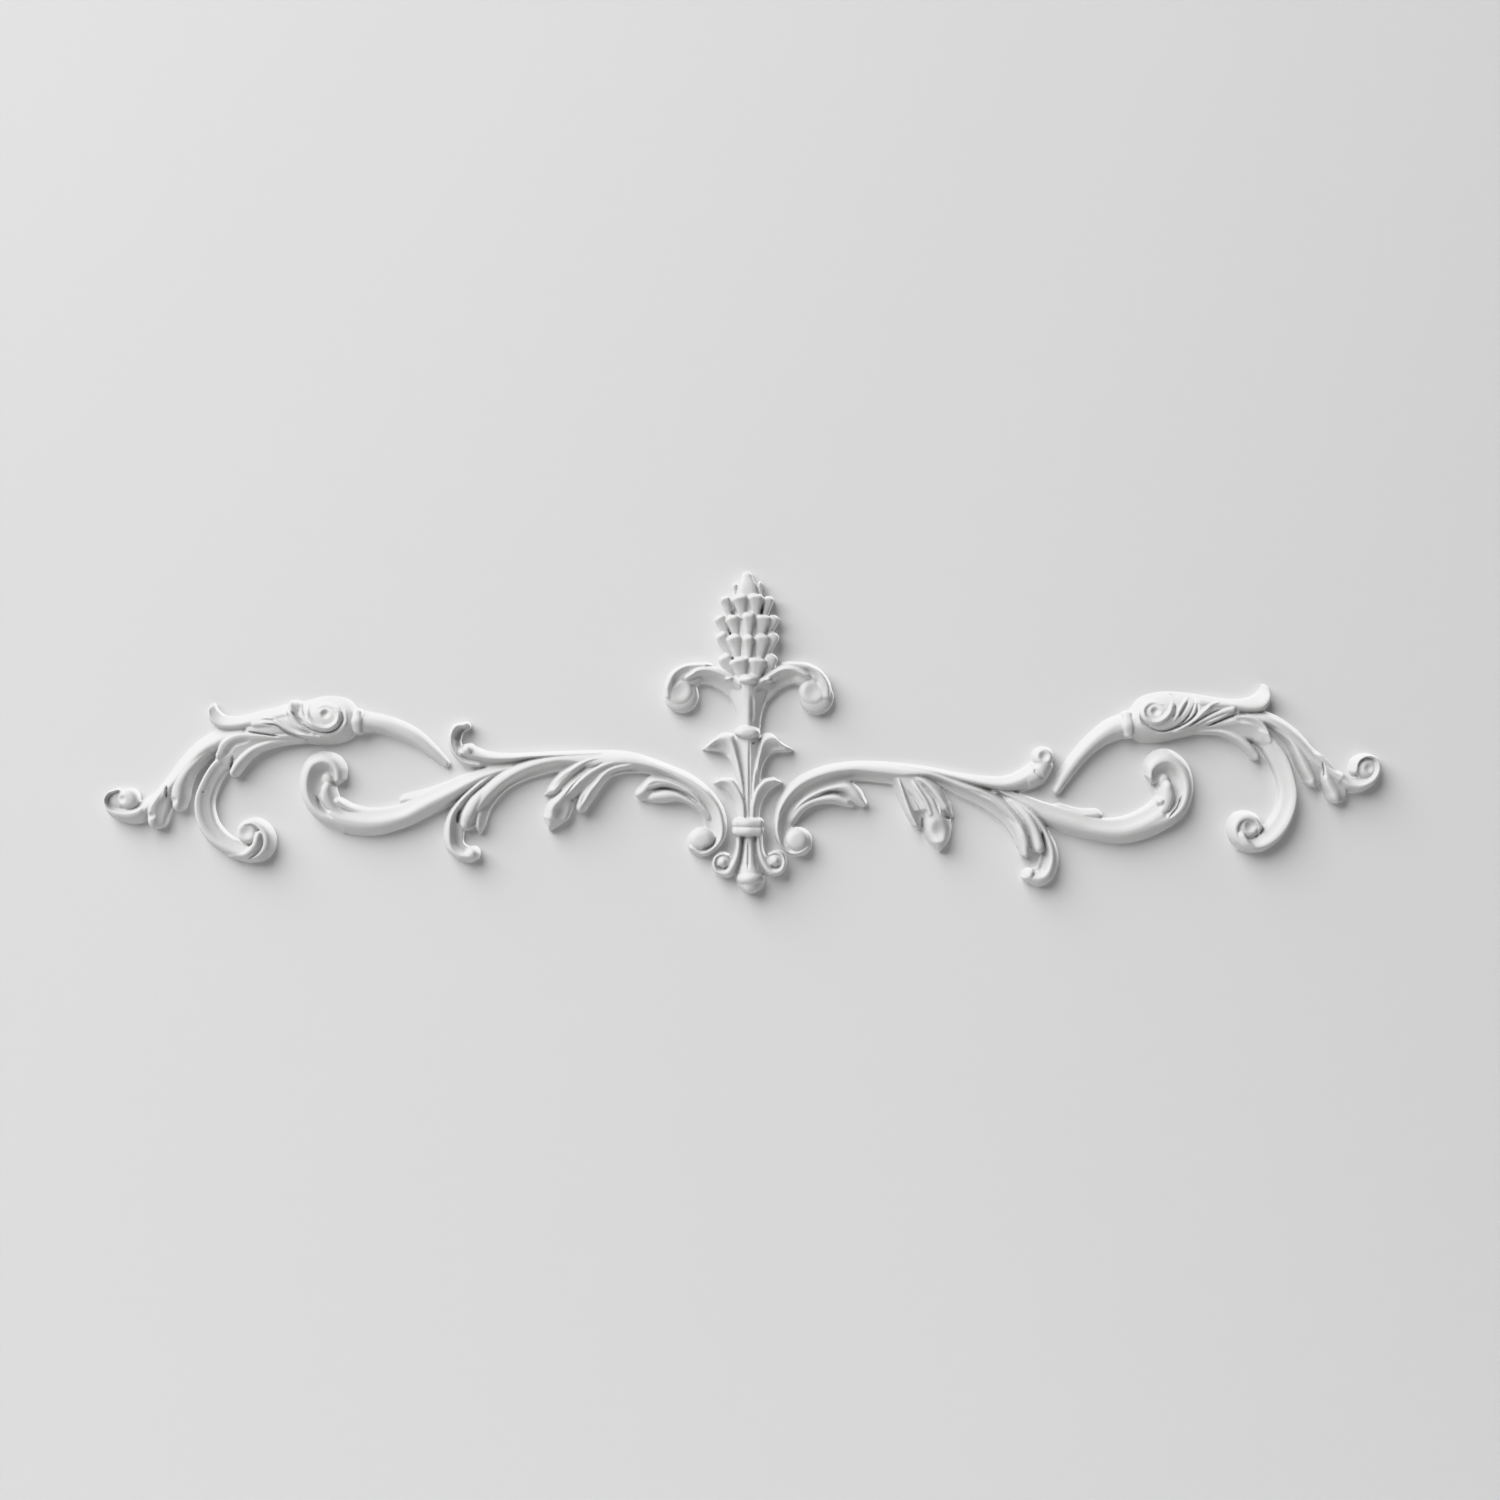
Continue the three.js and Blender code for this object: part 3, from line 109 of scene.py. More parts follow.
# A band is [side A, side B, start, end, stations], and a station is [edge A x, y, edge B x, y, crest, ridge].
# The crest is a share of BAND_RELIEF. The ridge says where it lies from edge A (0) to edge B (1), and is
# halfway where it isn't given. An end is "round", its tip's x, y, or "cut", which runs on a little and sinks.
LEFT_INNER = {
    "arch_and_stem": ["round", "scoop", "round", "cut", [
        [690, 852, 697, 843, 0.9], [702, 857, 703, 846, 0.95, 0.4], [714, 852, 706, 844, 1, 0.35],
        [724, 840, 708, 838, 1, 0.25], [727, 825, 705, 826, 1, 0.25], [721, 803, 700, 815, 1, 0.25],
        [697, 778, 684, 798, 1, 0.35], [662, 762, 656, 777, 1, 0.45], [630, 752, 626, 773, 1],
        [600, 750, 598, 779, 1], [560, 752, 563, 772, 1, 0.42], [530, 757, 538, 776, 1, 0.48],
        [508, 765.5, 516, 784, 1.02, 0.56], [488, 777, 503, 793, 1.04, 0.62],
        [473, 790, 494, 803, 1.06, 0.64], [463, 805, 488, 812, 1, 0.62],
    ]],
    "pale_lobe": ["round", "round", "cut", "round", [
        [480, 785, 494, 794, 0.95], [466, 798, 484, 805, 1.1, 0.6], [459, 813, 478, 817, 1.12, 0.55],
        [458, 821, 474, 824, 1],
    ]],
    "dark_lobe": ["round", "flat", "cut", [479, 835], [
        [478, 801, 491, 805, 0.6, 0.3], [475, 817, 487, 818, 0.86, 0.4], [474, 826, 484, 827, 0.8],
    ]],
    "hook": ["round", "scoop", "cut", "round", [
        [502, 766, 505, 775, 0.65, 0.4], [480, 779, 487, 788, 0.95, 0.4], [459, 798, 470, 804, 1, 0.4],
        [447, 814, 461, 818, 1, 0.45], [442, 832, 463, 832, 1, 0.42], [445, 849, 463, 842, 1, 0.42],
        [456, 860, 467, 846, 1, 0.42], [467, 863, 470, 847, 1],
    ]],
    "top_branch": ["round", "scoop", "cut", "cut", [
        [600, 750.5, 600, 758, 0.65], [560, 751, 560, 760, 0.95], [530, 752.5, 533, 761, 0.95],
        [505, 753, 506, 766, 0.95, 0.45], [487, 751, 486, 769, 0.95, 0.38],
        [474, 746, 470, 768, 0.95, 0.4], [465, 744, 458, 762, 0.9],
    ]],
    "top_curl": ["scoop", "round", "cut", "round", [
        [480, 757, 480, 768, 0.8, 0.7], [468, 753, 463, 765, 0.9, 0.7], [461, 745, 450, 752, 0.95, 0.6],
        [461, 737, 447, 737, 1, 0.6], [464, 731, 453, 724, 1, 0.6], [468, 730, 463, 722, 1, 0.55],
    ]],
    "c_scroll": ["dish", "round", "cut", "cut", [
        [510, 763, 514, 771, 0.65], [475, 770, 483, 783, 0.95, 0.6], [440, 784, 452, 803, 1, 0.55],
        [415, 795, 428, 816, 1, 0.56], [400, 804, 408, 826, 1, 0.55], [372, 808, 372, 836, 1],
        [350, 806, 338, 832, 1, 0.48], [338, 803, 322, 824, 1, 0.48],
    ]],
    "c_head": ["scoop", "round", "cut", [336, 786], [
        [352, 806, 342, 834, 1, 0.45], [336, 806, 318, 822, 1, 0.55], [328, 802, 305, 807, 1, 0.6],
        [324, 792, 298.5, 790, 1, 0.6], [324, 783, 299, 774, 1, 0.6], [325, 778, 307, 757.5, 1, 0.6],
        [326, 776, 323, 751.5, 1, 0.58], [327, 777, 338, 755.5, 1, 0.55], [328, 779, 346, 767, 0.98, 0.52],
        [330, 782, 345.5, 779, 0.9],
    ]],
    "nib": ["flat", "flat", "cut", "round", [
        [455, 778, 462, 794, 0.6, 0.4], [430, 787, 434, 806, 0.66, 0.35], [412, 792, 414, 811, 0.66, 0.35],
        [406, 793.5, 407, 810, 0.64, 0.35],
    ]],
    "c_lip": ["round", "round", "cut", "round", [
        [392, 806, 393, 815, 0.6], [372, 808, 371, 819, 0.66], [354, 804.5, 350, 815, 0.78],
        [345, 800, 340, 810, 0.94], [342, 798.5, 335.5, 805, 1],
    ]],
    "c_petal": ["round", "round", "cut", "round", [
        [345, 823, 353, 813, 0.85], [328, 812, 342, 806, 0.95, 0.4], [319, 799, 339, 798, 1.05, 0.35],
        [320, 790, 336, 790, 1.08, 0.4],
    ]],
    "inner_leaf_upper": ["round", "flat", "cut", "round", [
        [712, 812, 706, 818, 0.6], [697, 793, 694, 801, 0.9], [680, 782, 678, 792, 0.95, 0.45],
        [662, 777, 662, 789, 1, 0.45], [649, 776, 654, 795, 1, 0.4], [639, 786, 646, 800, 0.9, 0.45],
    ]],
    "inner_leaf_lower": ["round", "round", "cut", "cut", [
        [712, 812, 706, 822, 0.6], [695, 800, 693, 808, 0.85], [679, 791, 679, 801.5, 0.9],
        [665, 788, 665, 803, 0.95], [653, 790, 652, 803, 0.85],
    ]],
    "hanging_leaf_left": ["round", "flat", "cut", [543, 796], [
        [612, 755, 610, 761, 0.75], [590, 757, 592, 763, 1.05], [571, 764, 578, 774, 1.12],
        [556, 775, 567, 786, 1.15], [547, 787, 561, 794, 1.05],
    ]],
    "hanging_leaf_big": ["round", "dish", "cut", [549, 832], [
        [628, 757, 630, 763, 0.95], [606, 760, 610, 769, 1.05], [587, 767, 594, 780, 1.1],
        [570, 781, 582, 792, 1.2, 0.45], [556, 794, 574, 800, 1.25, 0.42], [546, 804, 572, 808, 1.28, 0.4],
        [542, 817, 568, 819, 1.2, 0.4],
    ]],
    "hanging_leaf_right": ["round", "round", "cut", "round", [
        [632, 760, 634, 768, 0.95], [608, 767, 613, 773, 1], [591, 780, 601, 787, 1.05],
        [578, 795, 594, 798, 1.1], [575, 805, 587, 808, 1.05],
    ]],
    "hanging_bed": ["round", "round", "cut", "cut", [
        [626, 754, 634, 768, 0.85], [604, 757, 614, 774, 0.85], [583, 763, 603, 784, 0.85],
        [566, 773, 589, 796, 0.85], [556, 784, 574, 797, 0.85],
    ]],
}
RIGHT_INNER = {
    "arch_and_stem": ["round", "scoop", "round", "cut", [
        [808, 853, 802, 844, 0.9], [797, 857, 797, 846, 0.95, 0.4], [786, 853, 793, 845, 1, 0.35],
        [776, 841, 791, 838, 1, 0.25], [773, 822, 792, 826, 1, 0.25], [779, 798, 796, 812, 1, 0.3],
        [795, 779, 812, 796, 1, 0.32], [820, 767, 834, 786, 1, 0.36], [848, 761.5, 856, 781, 1, 0.42],
        [875, 761, 882, 783, 1], [900, 763, 905, 786, 1], [927, 768, 933, 784, 1, 0.4],
        [955, 777, 958, 796, 1, 0.4], [985, 788, 984, 809, 1, 0.42], [1008, 800, 1001, 822, 1],
        [1024, 817, 1012, 836, 0.95], [1030, 834, 1017, 847, 0.85],
    ]],
    "left_lobe": ["round", "round", "cut", "round", [
        [1010, 806, 1000, 815, 0.65], [1024, 824, 1011, 832, 1, 0.4], [1030, 841, 1017, 846, 1.05, 0.4],
        [1030, 851, 1020, 854, 0.95],
    ]],
    "right_lobe": ["round", "round", "cut", "round", [
        [1015, 796, 1006, 804, 0.65], [1032, 812, 1020, 820, 1.02], [1041, 828, 1028, 834, 1.1],
        [1046, 844, 1031, 847, 1.12],
    ]],
    "hook": ["round", "scoop", "cut", "round", [
        [1012, 793, 1008, 802, 0.65, 0.4], [1035, 811, 1027, 819, 0.95, 0.45],
        [1049, 830, 1038, 836, 1, 0.45], [1058, 848, 1041, 850, 1], [1059, 866, 1038, 861, 1],
        [1052, 881, 1036, 868, 1], [1039, 887, 1032, 868, 1], [1029, 883, 1028, 869, 0.95],
    ]],
    "top_branch": ["flat", "round", "cut", "cut", [
        [900, 763, 901, 770, 0.65], [930, 767, 932, 775, 0.95], [960, 773, 961, 783, 0.95],
        [985, 776, 985, 788, 0.95, 0.6], [1005, 776, 1005, 792, 0.95], [1020, 770, 1026, 791, 0.95, 0.4],
        [1030, 763, 1042, 783, 0.95, 0.4],
    ]],
    "top_curl": ["round", "round", "cut", "cut", [
        [1022, 770, 1032, 790, 0.95, 0.45], [1031, 766, 1046, 781, 1, 0.45], [1033, 758, 1054, 767, 1.02],
    ]],
    "c_scroll": ["dish", "round", "cut", "cut", [
        [998, 787, 1006, 797, 0.65], [1025, 795, 1031, 813, 0.9], [1045, 802, 1050, 828, 1],
        [1070, 809, 1070, 835, 1, 0.52], [1095, 817, 1092, 840, 1, 0.54], [1120, 817, 1120, 844, 1, 0.53],
        [1143, 808, 1150, 838, 1], [1153, 800, 1170, 828, 1],
    ]],
    "c_head": ["scoop", "round", "cut", [1152, 785], [
        [1141, 808, 1148, 838, 1], [1157, 806, 1170, 828, 1, 0.55], [1166, 802, 1187, 813, 1, 0.58],
        [1169, 795, 1194, 795, 1, 0.6], [1168, 786, 1194, 778, 1, 0.6], [1167, 780, 1187, 761, 1, 0.58],
        [1166, 778, 1170, 749, 1, 0.56], [1164, 778, 1155, 751, 1, 0.56],
        [1160, 780, 1145, 762, 0.98, 0.58], [1157, 783, 1145, 775, 0.9, 0.55],
    ]],
    "nib": ["flat", "flat", "cut", "round", [
        [1060, 803, 1060, 822, 0.6, 0.4], [1080, 808.5, 1080, 827, 0.66, 0.35],
        [1095, 808.5, 1095, 825, 0.64, 0.35],
    ]],
    "c_petal": ["round", "round", "cut", "round", [
        [1144, 815, 1158, 828, 0.85], [1157, 803, 1172, 811, 0.95], [1156.5, 794, 1177, 797, 1.05, 0.55],
        [1158, 788, 1174, 788, 1.08, 0.55],
    ]],
    "inner_leaf_upper": ["round", "flat", "cut", "round", [
        [788, 812, 795, 818, 0.6], [800, 799, 804, 806, 0.9], [815, 790, 818, 798, 0.95, 0.45],
        [832, 784, 834, 793, 1, 0.45], [848, 781, 845, 797, 1, 0.45], [861, 789, 851, 802, 1],
        [866, 799, 859, 806, 0.85],
    ]],
    "inner_leaf_lower": ["round", "round", "cut", "cut", [
        [788, 815, 795, 824, 0.6], [800, 803, 805, 811, 0.85], [815, 796, 818, 804.5, 0.9],
        [835, 792, 834, 804, 0.95], [848, 797, 847, 807, 0.85],
    ]],
    "hanging_leaf_left": ["round", "scoop", "cut", [919, 831], [
        [890, 768, 903, 776, 0.65], [896, 784, 908, 787, 1, 0.4], [901, 800, 914, 800, 1.05, 0.35],
        [906, 815, 922, 812, 1.1, 0.3], [912, 826, 924, 822, 1.05, 0.35],
    ]],
    "hanging_leaf_ridge": ["round", "round", "cut", "round", [
        [905, 770, 912, 776, 0.65], [911, 786, 922, 789, 1.1], [919, 800, 931, 802, 1.2],
        [925, 813, 935, 813, 1.15],
    ]],
    "hanging_leaf_big": ["round", "round", "cut", [940, 853], [
        [915, 785, 925, 790, 0.9], [920, 804, 941, 800, 1.05], [922, 820, 950, 815, 1.08],
        [923, 833, 952.5, 828, 1.08], [929, 843, 950, 840, 1.05],
    ]],
    "hanging_leaf_right": ["flat", "round", "cut", [954, 818], [
        [903, 768, 904, 777, 0.65], [925, 775, 920, 787, 1], [941, 787, 931, 799, 1.1],
        [951, 803, 940, 811, 1.08],
    ]],
    "hanging_bed": ["round", "round", "cut", "cut", [
        [885, 772, 908, 768, 0.85], [893, 788, 927, 777, 0.88], [899, 802, 943, 792, 0.9],
        [905, 813, 948, 803, 0.9],
    ]],
}
LEFT_OUTER = {
    "horn": ["round", "round", "cut", "round", [
        [359, 710, 359, 732, 0.95], [380, 714, 378, 733.5, 0.9], [400, 720, 396, 740, 0.8],
        [420, 731, 414, 748, 0.7], [437, 747, 429, 758, 0.55], [448, 760, 441, 766, 0.4],
    ]],
    "collar": ["bead", "bead", "round", "round", [
        [354, 713, 363, 713, 1], [352.5, 721, 364, 721, 1.18], [353.5, 730, 363, 730, 1.02],
    ]],
    "head": ["round", "round", "cut", "cut", [
        [357, 708, 355, 731, 1], [347, 699, 350, 739, 1.15], [325, 696, 328, 745, 1.25],
        [303, 701, 303, 743, 1.15], [285, 704, 285, 743, 1.1], [265, 710, 266, 747, 1],
        [248, 715, 250, 750, 0.9],
    ]],
    "tail_leaf": ["flat", "round", "cut", [213, 702], [
        [300, 702, 296, 722, 1.1], [275, 707, 272, 727, 1.05], [255, 712, 250, 731, 1],
        [238, 716, 236, 733, 1], [224, 715, 219, 730, 1, 0.6], [217, 709, 209, 721, 1, 0.65],
        [215, 705, 208, 712, 0.95, 0.6],
    ]],
    "under_leaf": ["round", "dish", "cut", [214, 766], [
        [305, 732, 305, 743, 0.85, 0.3], [277, 733, 280, 746, 1, 0.25], [254, 731, 260, 752, 1.06, 0.22],
        [236, 730.5, 246, 758, 1.1, 0.22], [223, 738, 236, 763, 1.1, 0.22], [216, 752, 226, 767, 1, 0.28],
    ]],
    "small_lobe": ["round", "round", "cut", "round", [
        [292, 737, 293, 744, 0.7], [270, 738, 275, 747, 0.9], [252, 745, 260, 752, 0.98],
        [241, 753, 250, 760, 1], [233, 762, 243, 768, 1], [229, 770, 239, 773.5, 0.95],
    ]],
    "c_scroll": ["round", "dish", "cut", "cut", [
        [222, 752, 236, 763, 0.7, 0.3], [212, 762, 228, 770, 0.95, 0.25], [201, 780, 219, 784, 1, 0.24],
        [194, 800, 213.5, 803, 1, 0.24], [196, 822, 218, 822, 1, 0.27], [207, 842, 228, 834, 1, 0.36],
        [225, 855, 238, 841, 1, 0.45], [247, 863, 247, 845, 1], [260, 861, 252, 847, 1],
    ]],
    "c_volute": ["round", "round", "cut", "cut", [
        [244, 862.5, 246, 847, 1], [262, 861, 256, 849, 1, 0.55], [273, 850, 261, 843, 1, 0.6],
        [274.5, 836, 261, 834, 1, 0.6], [268, 824, 257, 829, 0.98, 0.6], [256, 817.5, 251, 826, 0.92, 0.6],
        [245, 819.5, 246, 828, 0.86, 0.6],
    ]],
    "c_petal": ["round", "round", "cut", "round", [
        [232, 850, 234, 860, 0.9, 0.4], [244, 850, 251, 860, 1.1, 0.35], [252, 843, 263, 849, 1.18, 0.35],
        [255, 834, 264.5, 837, 1.12, 0.45],
    ]],
    "outer_branch": ["flat", "round", "cut", "cut", [
        [243, 724, 243, 740, 0.8], [218, 729, 223, 750, 1, 0.55], [198, 740, 209, 757, 1, 0.58],
        [181, 757, 196, 771, 1, 0.58], [166.5, 776.5, 180, 787, 1, 0.58], [152, 794, 165, 804, 1, 0.55],
        [142, 802, 150, 815, 1],
    ]],
    "end_volute": ["scoop", "round", "cut", "round", [
        [146, 797, 154, 808, 0.95], [135, 804, 140, 823, 1, 0.4], [123, 806, 122, 823, 1, 0.4],
        [113, 804, 108, 815, 1, 0.45], [110, 799, 103, 802, 0.95], [112, 795, 107, 792, 0.9],
        [118, 793, 116, 788, 0.85],
    ]],
    "first_lobe": ["round", "round", "cut", "round", [
        [208, 744, 216, 750, 0.85, 0.6], [188, 758, 204, 763, 1, 0.6], [176, 772, 194, 776, 1.05, 0.58],
        [169.5, 787, 190, 788, 1.06], [169, 796, 188.5, 798, 1.06], [171, 803, 186, 805, 1],
    ]],
    "second_lobe": ["round", "dish", "cut", "round", [
        [168, 777, 178, 786, 0.85, 0.4], [157, 793, 172, 797, 1.02, 0.35], [147, 807, 170, 811, 1.08, 0.3],
        [146, 817, 167, 820, 1.04, 0.4],
    ]],
    "head_blade": ["round", "round", "cut", "round", [
        [322, 734, 322, 740, 1], [302, 728, 301, 739, 1.1], [285, 718, 284, 734, 1.15],
        [271, 716, 271, 731, 1.16], [258, 717.5, 257, 730.5, 1.12],
    ]],
    "head_paddle": ["round", "flat", "cut", "round", [
        [313, 736, 320, 731, 1.12, 0.4], [299, 727, 310, 721, 1.3, 0.35], [290, 716, 304, 711, 1.33, 0.35],
        [288, 709, 302, 705, 1.28, 0.4],
    ]],
}
RIGHT_OUTER = {
    "horn": ["round", "round", "cut", "round", [
        [1127, 712, 1126, 738, 0.95], [1108, 719, 1110, 743, 0.95], [1088, 735, 1096, 752, 0.9],
        [1072, 753, 1083, 765, 0.8], [1060, 771, 1072, 779, 0.7], [1053, 787, 1062, 792, 0.6],
    ]],
    "collar": ["bead", "bead", "round", "round", [
        [1121.5, 716, 1131.5, 715, 1], [1121, 726, 1133, 725, 1.18], [1123, 734, 1132.5, 734, 1.02],
    ]],
    "head": ["round", "round", "cut", "cut", [
        [1128, 713, 1130, 735, 1], [1140, 698, 1138, 741, 1.15], [1160, 692, 1158, 743, 1.25],
        [1182, 692, 1180, 738, 1.15], [1203, 695, 1203, 733, 1.1], [1222, 698, 1222, 735, 1],
        [1238, 700, 1236, 740, 0.9],
    ]],
    "tail_leaf": ["flat", "round", "cut", [1264, 683], [
        [1195, 694, 1200, 712, 1.1], [1215, 697, 1215, 712, 1.05], [1232, 699, 1232, 712, 1],
        [1247, 698, 1249, 714, 1, 0.6], [1256, 694, 1265, 711, 1, 0.65], [1261, 689, 1272, 699, 1, 0.65],
        [1263, 685, 1269, 689, 0.9],
    ]],
    "under_leaf": ["round", "dish", "cut", [1273, 749], [
        [1196, 724, 1196, 734, 0.8, 0.3], [1220, 719, 1222, 735, 1, 0.3],
        [1238, 713, 1240, 741, 1.06, 0.22], [1256, 715, 1251, 742, 1.1, 0.22],
        [1267, 726, 1257, 745, 1.1, 0.25], [1272, 738, 1264, 748, 1, 0.35],
    ]],
    "small_lobe": ["round", "round", "cut", "round", [
        [1200, 727, 1200, 734, 0.7], [1222, 728, 1221, 736, 0.9], [1240, 734, 1235, 744, 1],
        [1252, 743, 1243, 751, 1], [1260, 752, 1250, 758, 0.9],
    ]],
    "c_scroll": ["round", "dish", "cut", "cut", [
        [1262, 729, 1250, 741, 0.7, 0.3], [1273, 737, 1260, 748, 0.95, 0.26],
        [1287, 753, 1268, 760, 1, 0.24], [1295, 775, 1276, 777, 1, 0.22], [1298, 797, 1279, 794, 1, 0.22],
        [1293, 820, 1275, 811, 1, 0.25], [1281, 840, 1266, 825, 1, 0.3], [1262, 852, 1257, 836, 1, 0.4],
        [1244, 852, 1249, 838, 1, 0.45],
    ]],
    "c_volute": ["round", "round", "cut", [1258, 838], [
        [1262, 852.5, 1259, 840, 0.9], [1245, 852, 1250, 841, 1], [1231, 841, 1242, 836, 1.02, 0.55],
        [1227.5, 826, 1239, 829, 1.02, 0.6], [1234, 814, 1243, 823, 1, 0.6],
        [1246, 810.5, 1248, 822, 1, 0.6], [1258, 815, 1252, 824, 1, 0.6],
        [1264.5, 826, 1254, 829, 0.95, 0.55],
    ]],
    "c_petal": ["round", "round", "cut", "round", [
        [1262, 851, 1261, 842, 0.95], [1250, 851.5, 1255, 843, 1.12], [1240, 846, 1249, 838.5, 1.24],
        [1235.5, 838.5, 1246, 833.5, 1.22],
    ]],
    "outer_branch": ["round", "flat", "cut", "cut", [
        [1246, 711, 1250, 725, 0.9], [1266, 711, 1270, 729, 1, 0.65], [1283, 718, 1283, 738, 1, 0.75],
        [1301, 732, 1295, 750, 1, 0.75], [1317, 750, 1307, 764, 1, 0.7], [1330, 764, 1320, 775, 1, 0.6],
        [1344, 773, 1334, 786, 1],
    ]],
    "end_volute": ["scoop", "round", "cut", "round", [
        [1342, 772, 1334, 781, 0.95], [1351, 777, 1347, 791, 1], [1359, 777, 1360, 793, 1],
        [1367, 773, 1377, 783, 1], [1370, 766, 1383, 768, 1], [1369, 760, 1376, 756, 1],
        [1363, 760, 1363, 753.5, 1, 0.45], [1361, 764, 1352, 760, 0.95, 0.45],
        [1360, 770, 1350, 769, 0.9, 0.45],
    ]],
    "first_lobe": ["round", "dish", "cut", "round", [
        [1273, 731, 1284, 725, 0.85, 0.3], [1286, 743, 1303, 740, 1.02, 0.28],
        [1293, 757, 1315, 755, 1.08, 0.26], [1299, 771, 1321, 768, 1.08, 0.3],
        [1304, 780, 1321, 778, 1.04, 0.4],
    ]],
    "second_lobe": ["round", "dish", "cut", "round", [
        [1309, 753, 1324, 756, 0.85, 0.3], [1317, 768, 1336, 768, 1.02, 0.26],
        [1320, 783, 1344, 779, 1.08, 0.26], [1325, 795, 1347.5, 789, 1.04, 0.36],
    ]],
    "head_blade": ["round", "round", "cut", [1221, 700], [
        [1176, 733, 1174, 728, 1.15], [1197, 723, 1193, 716, 1.2], [1210, 713, 1204, 704, 1.2],
    ]],
    "head_second_blade": ["round", "round", "cut", "round", [
        [1180, 733, 1180, 728, 1.1], [1202, 725, 1199, 717, 1.15], [1220, 718, 1216, 708, 1.18],
        [1232, 714, 1229, 705, 1.15],
    ]],
}
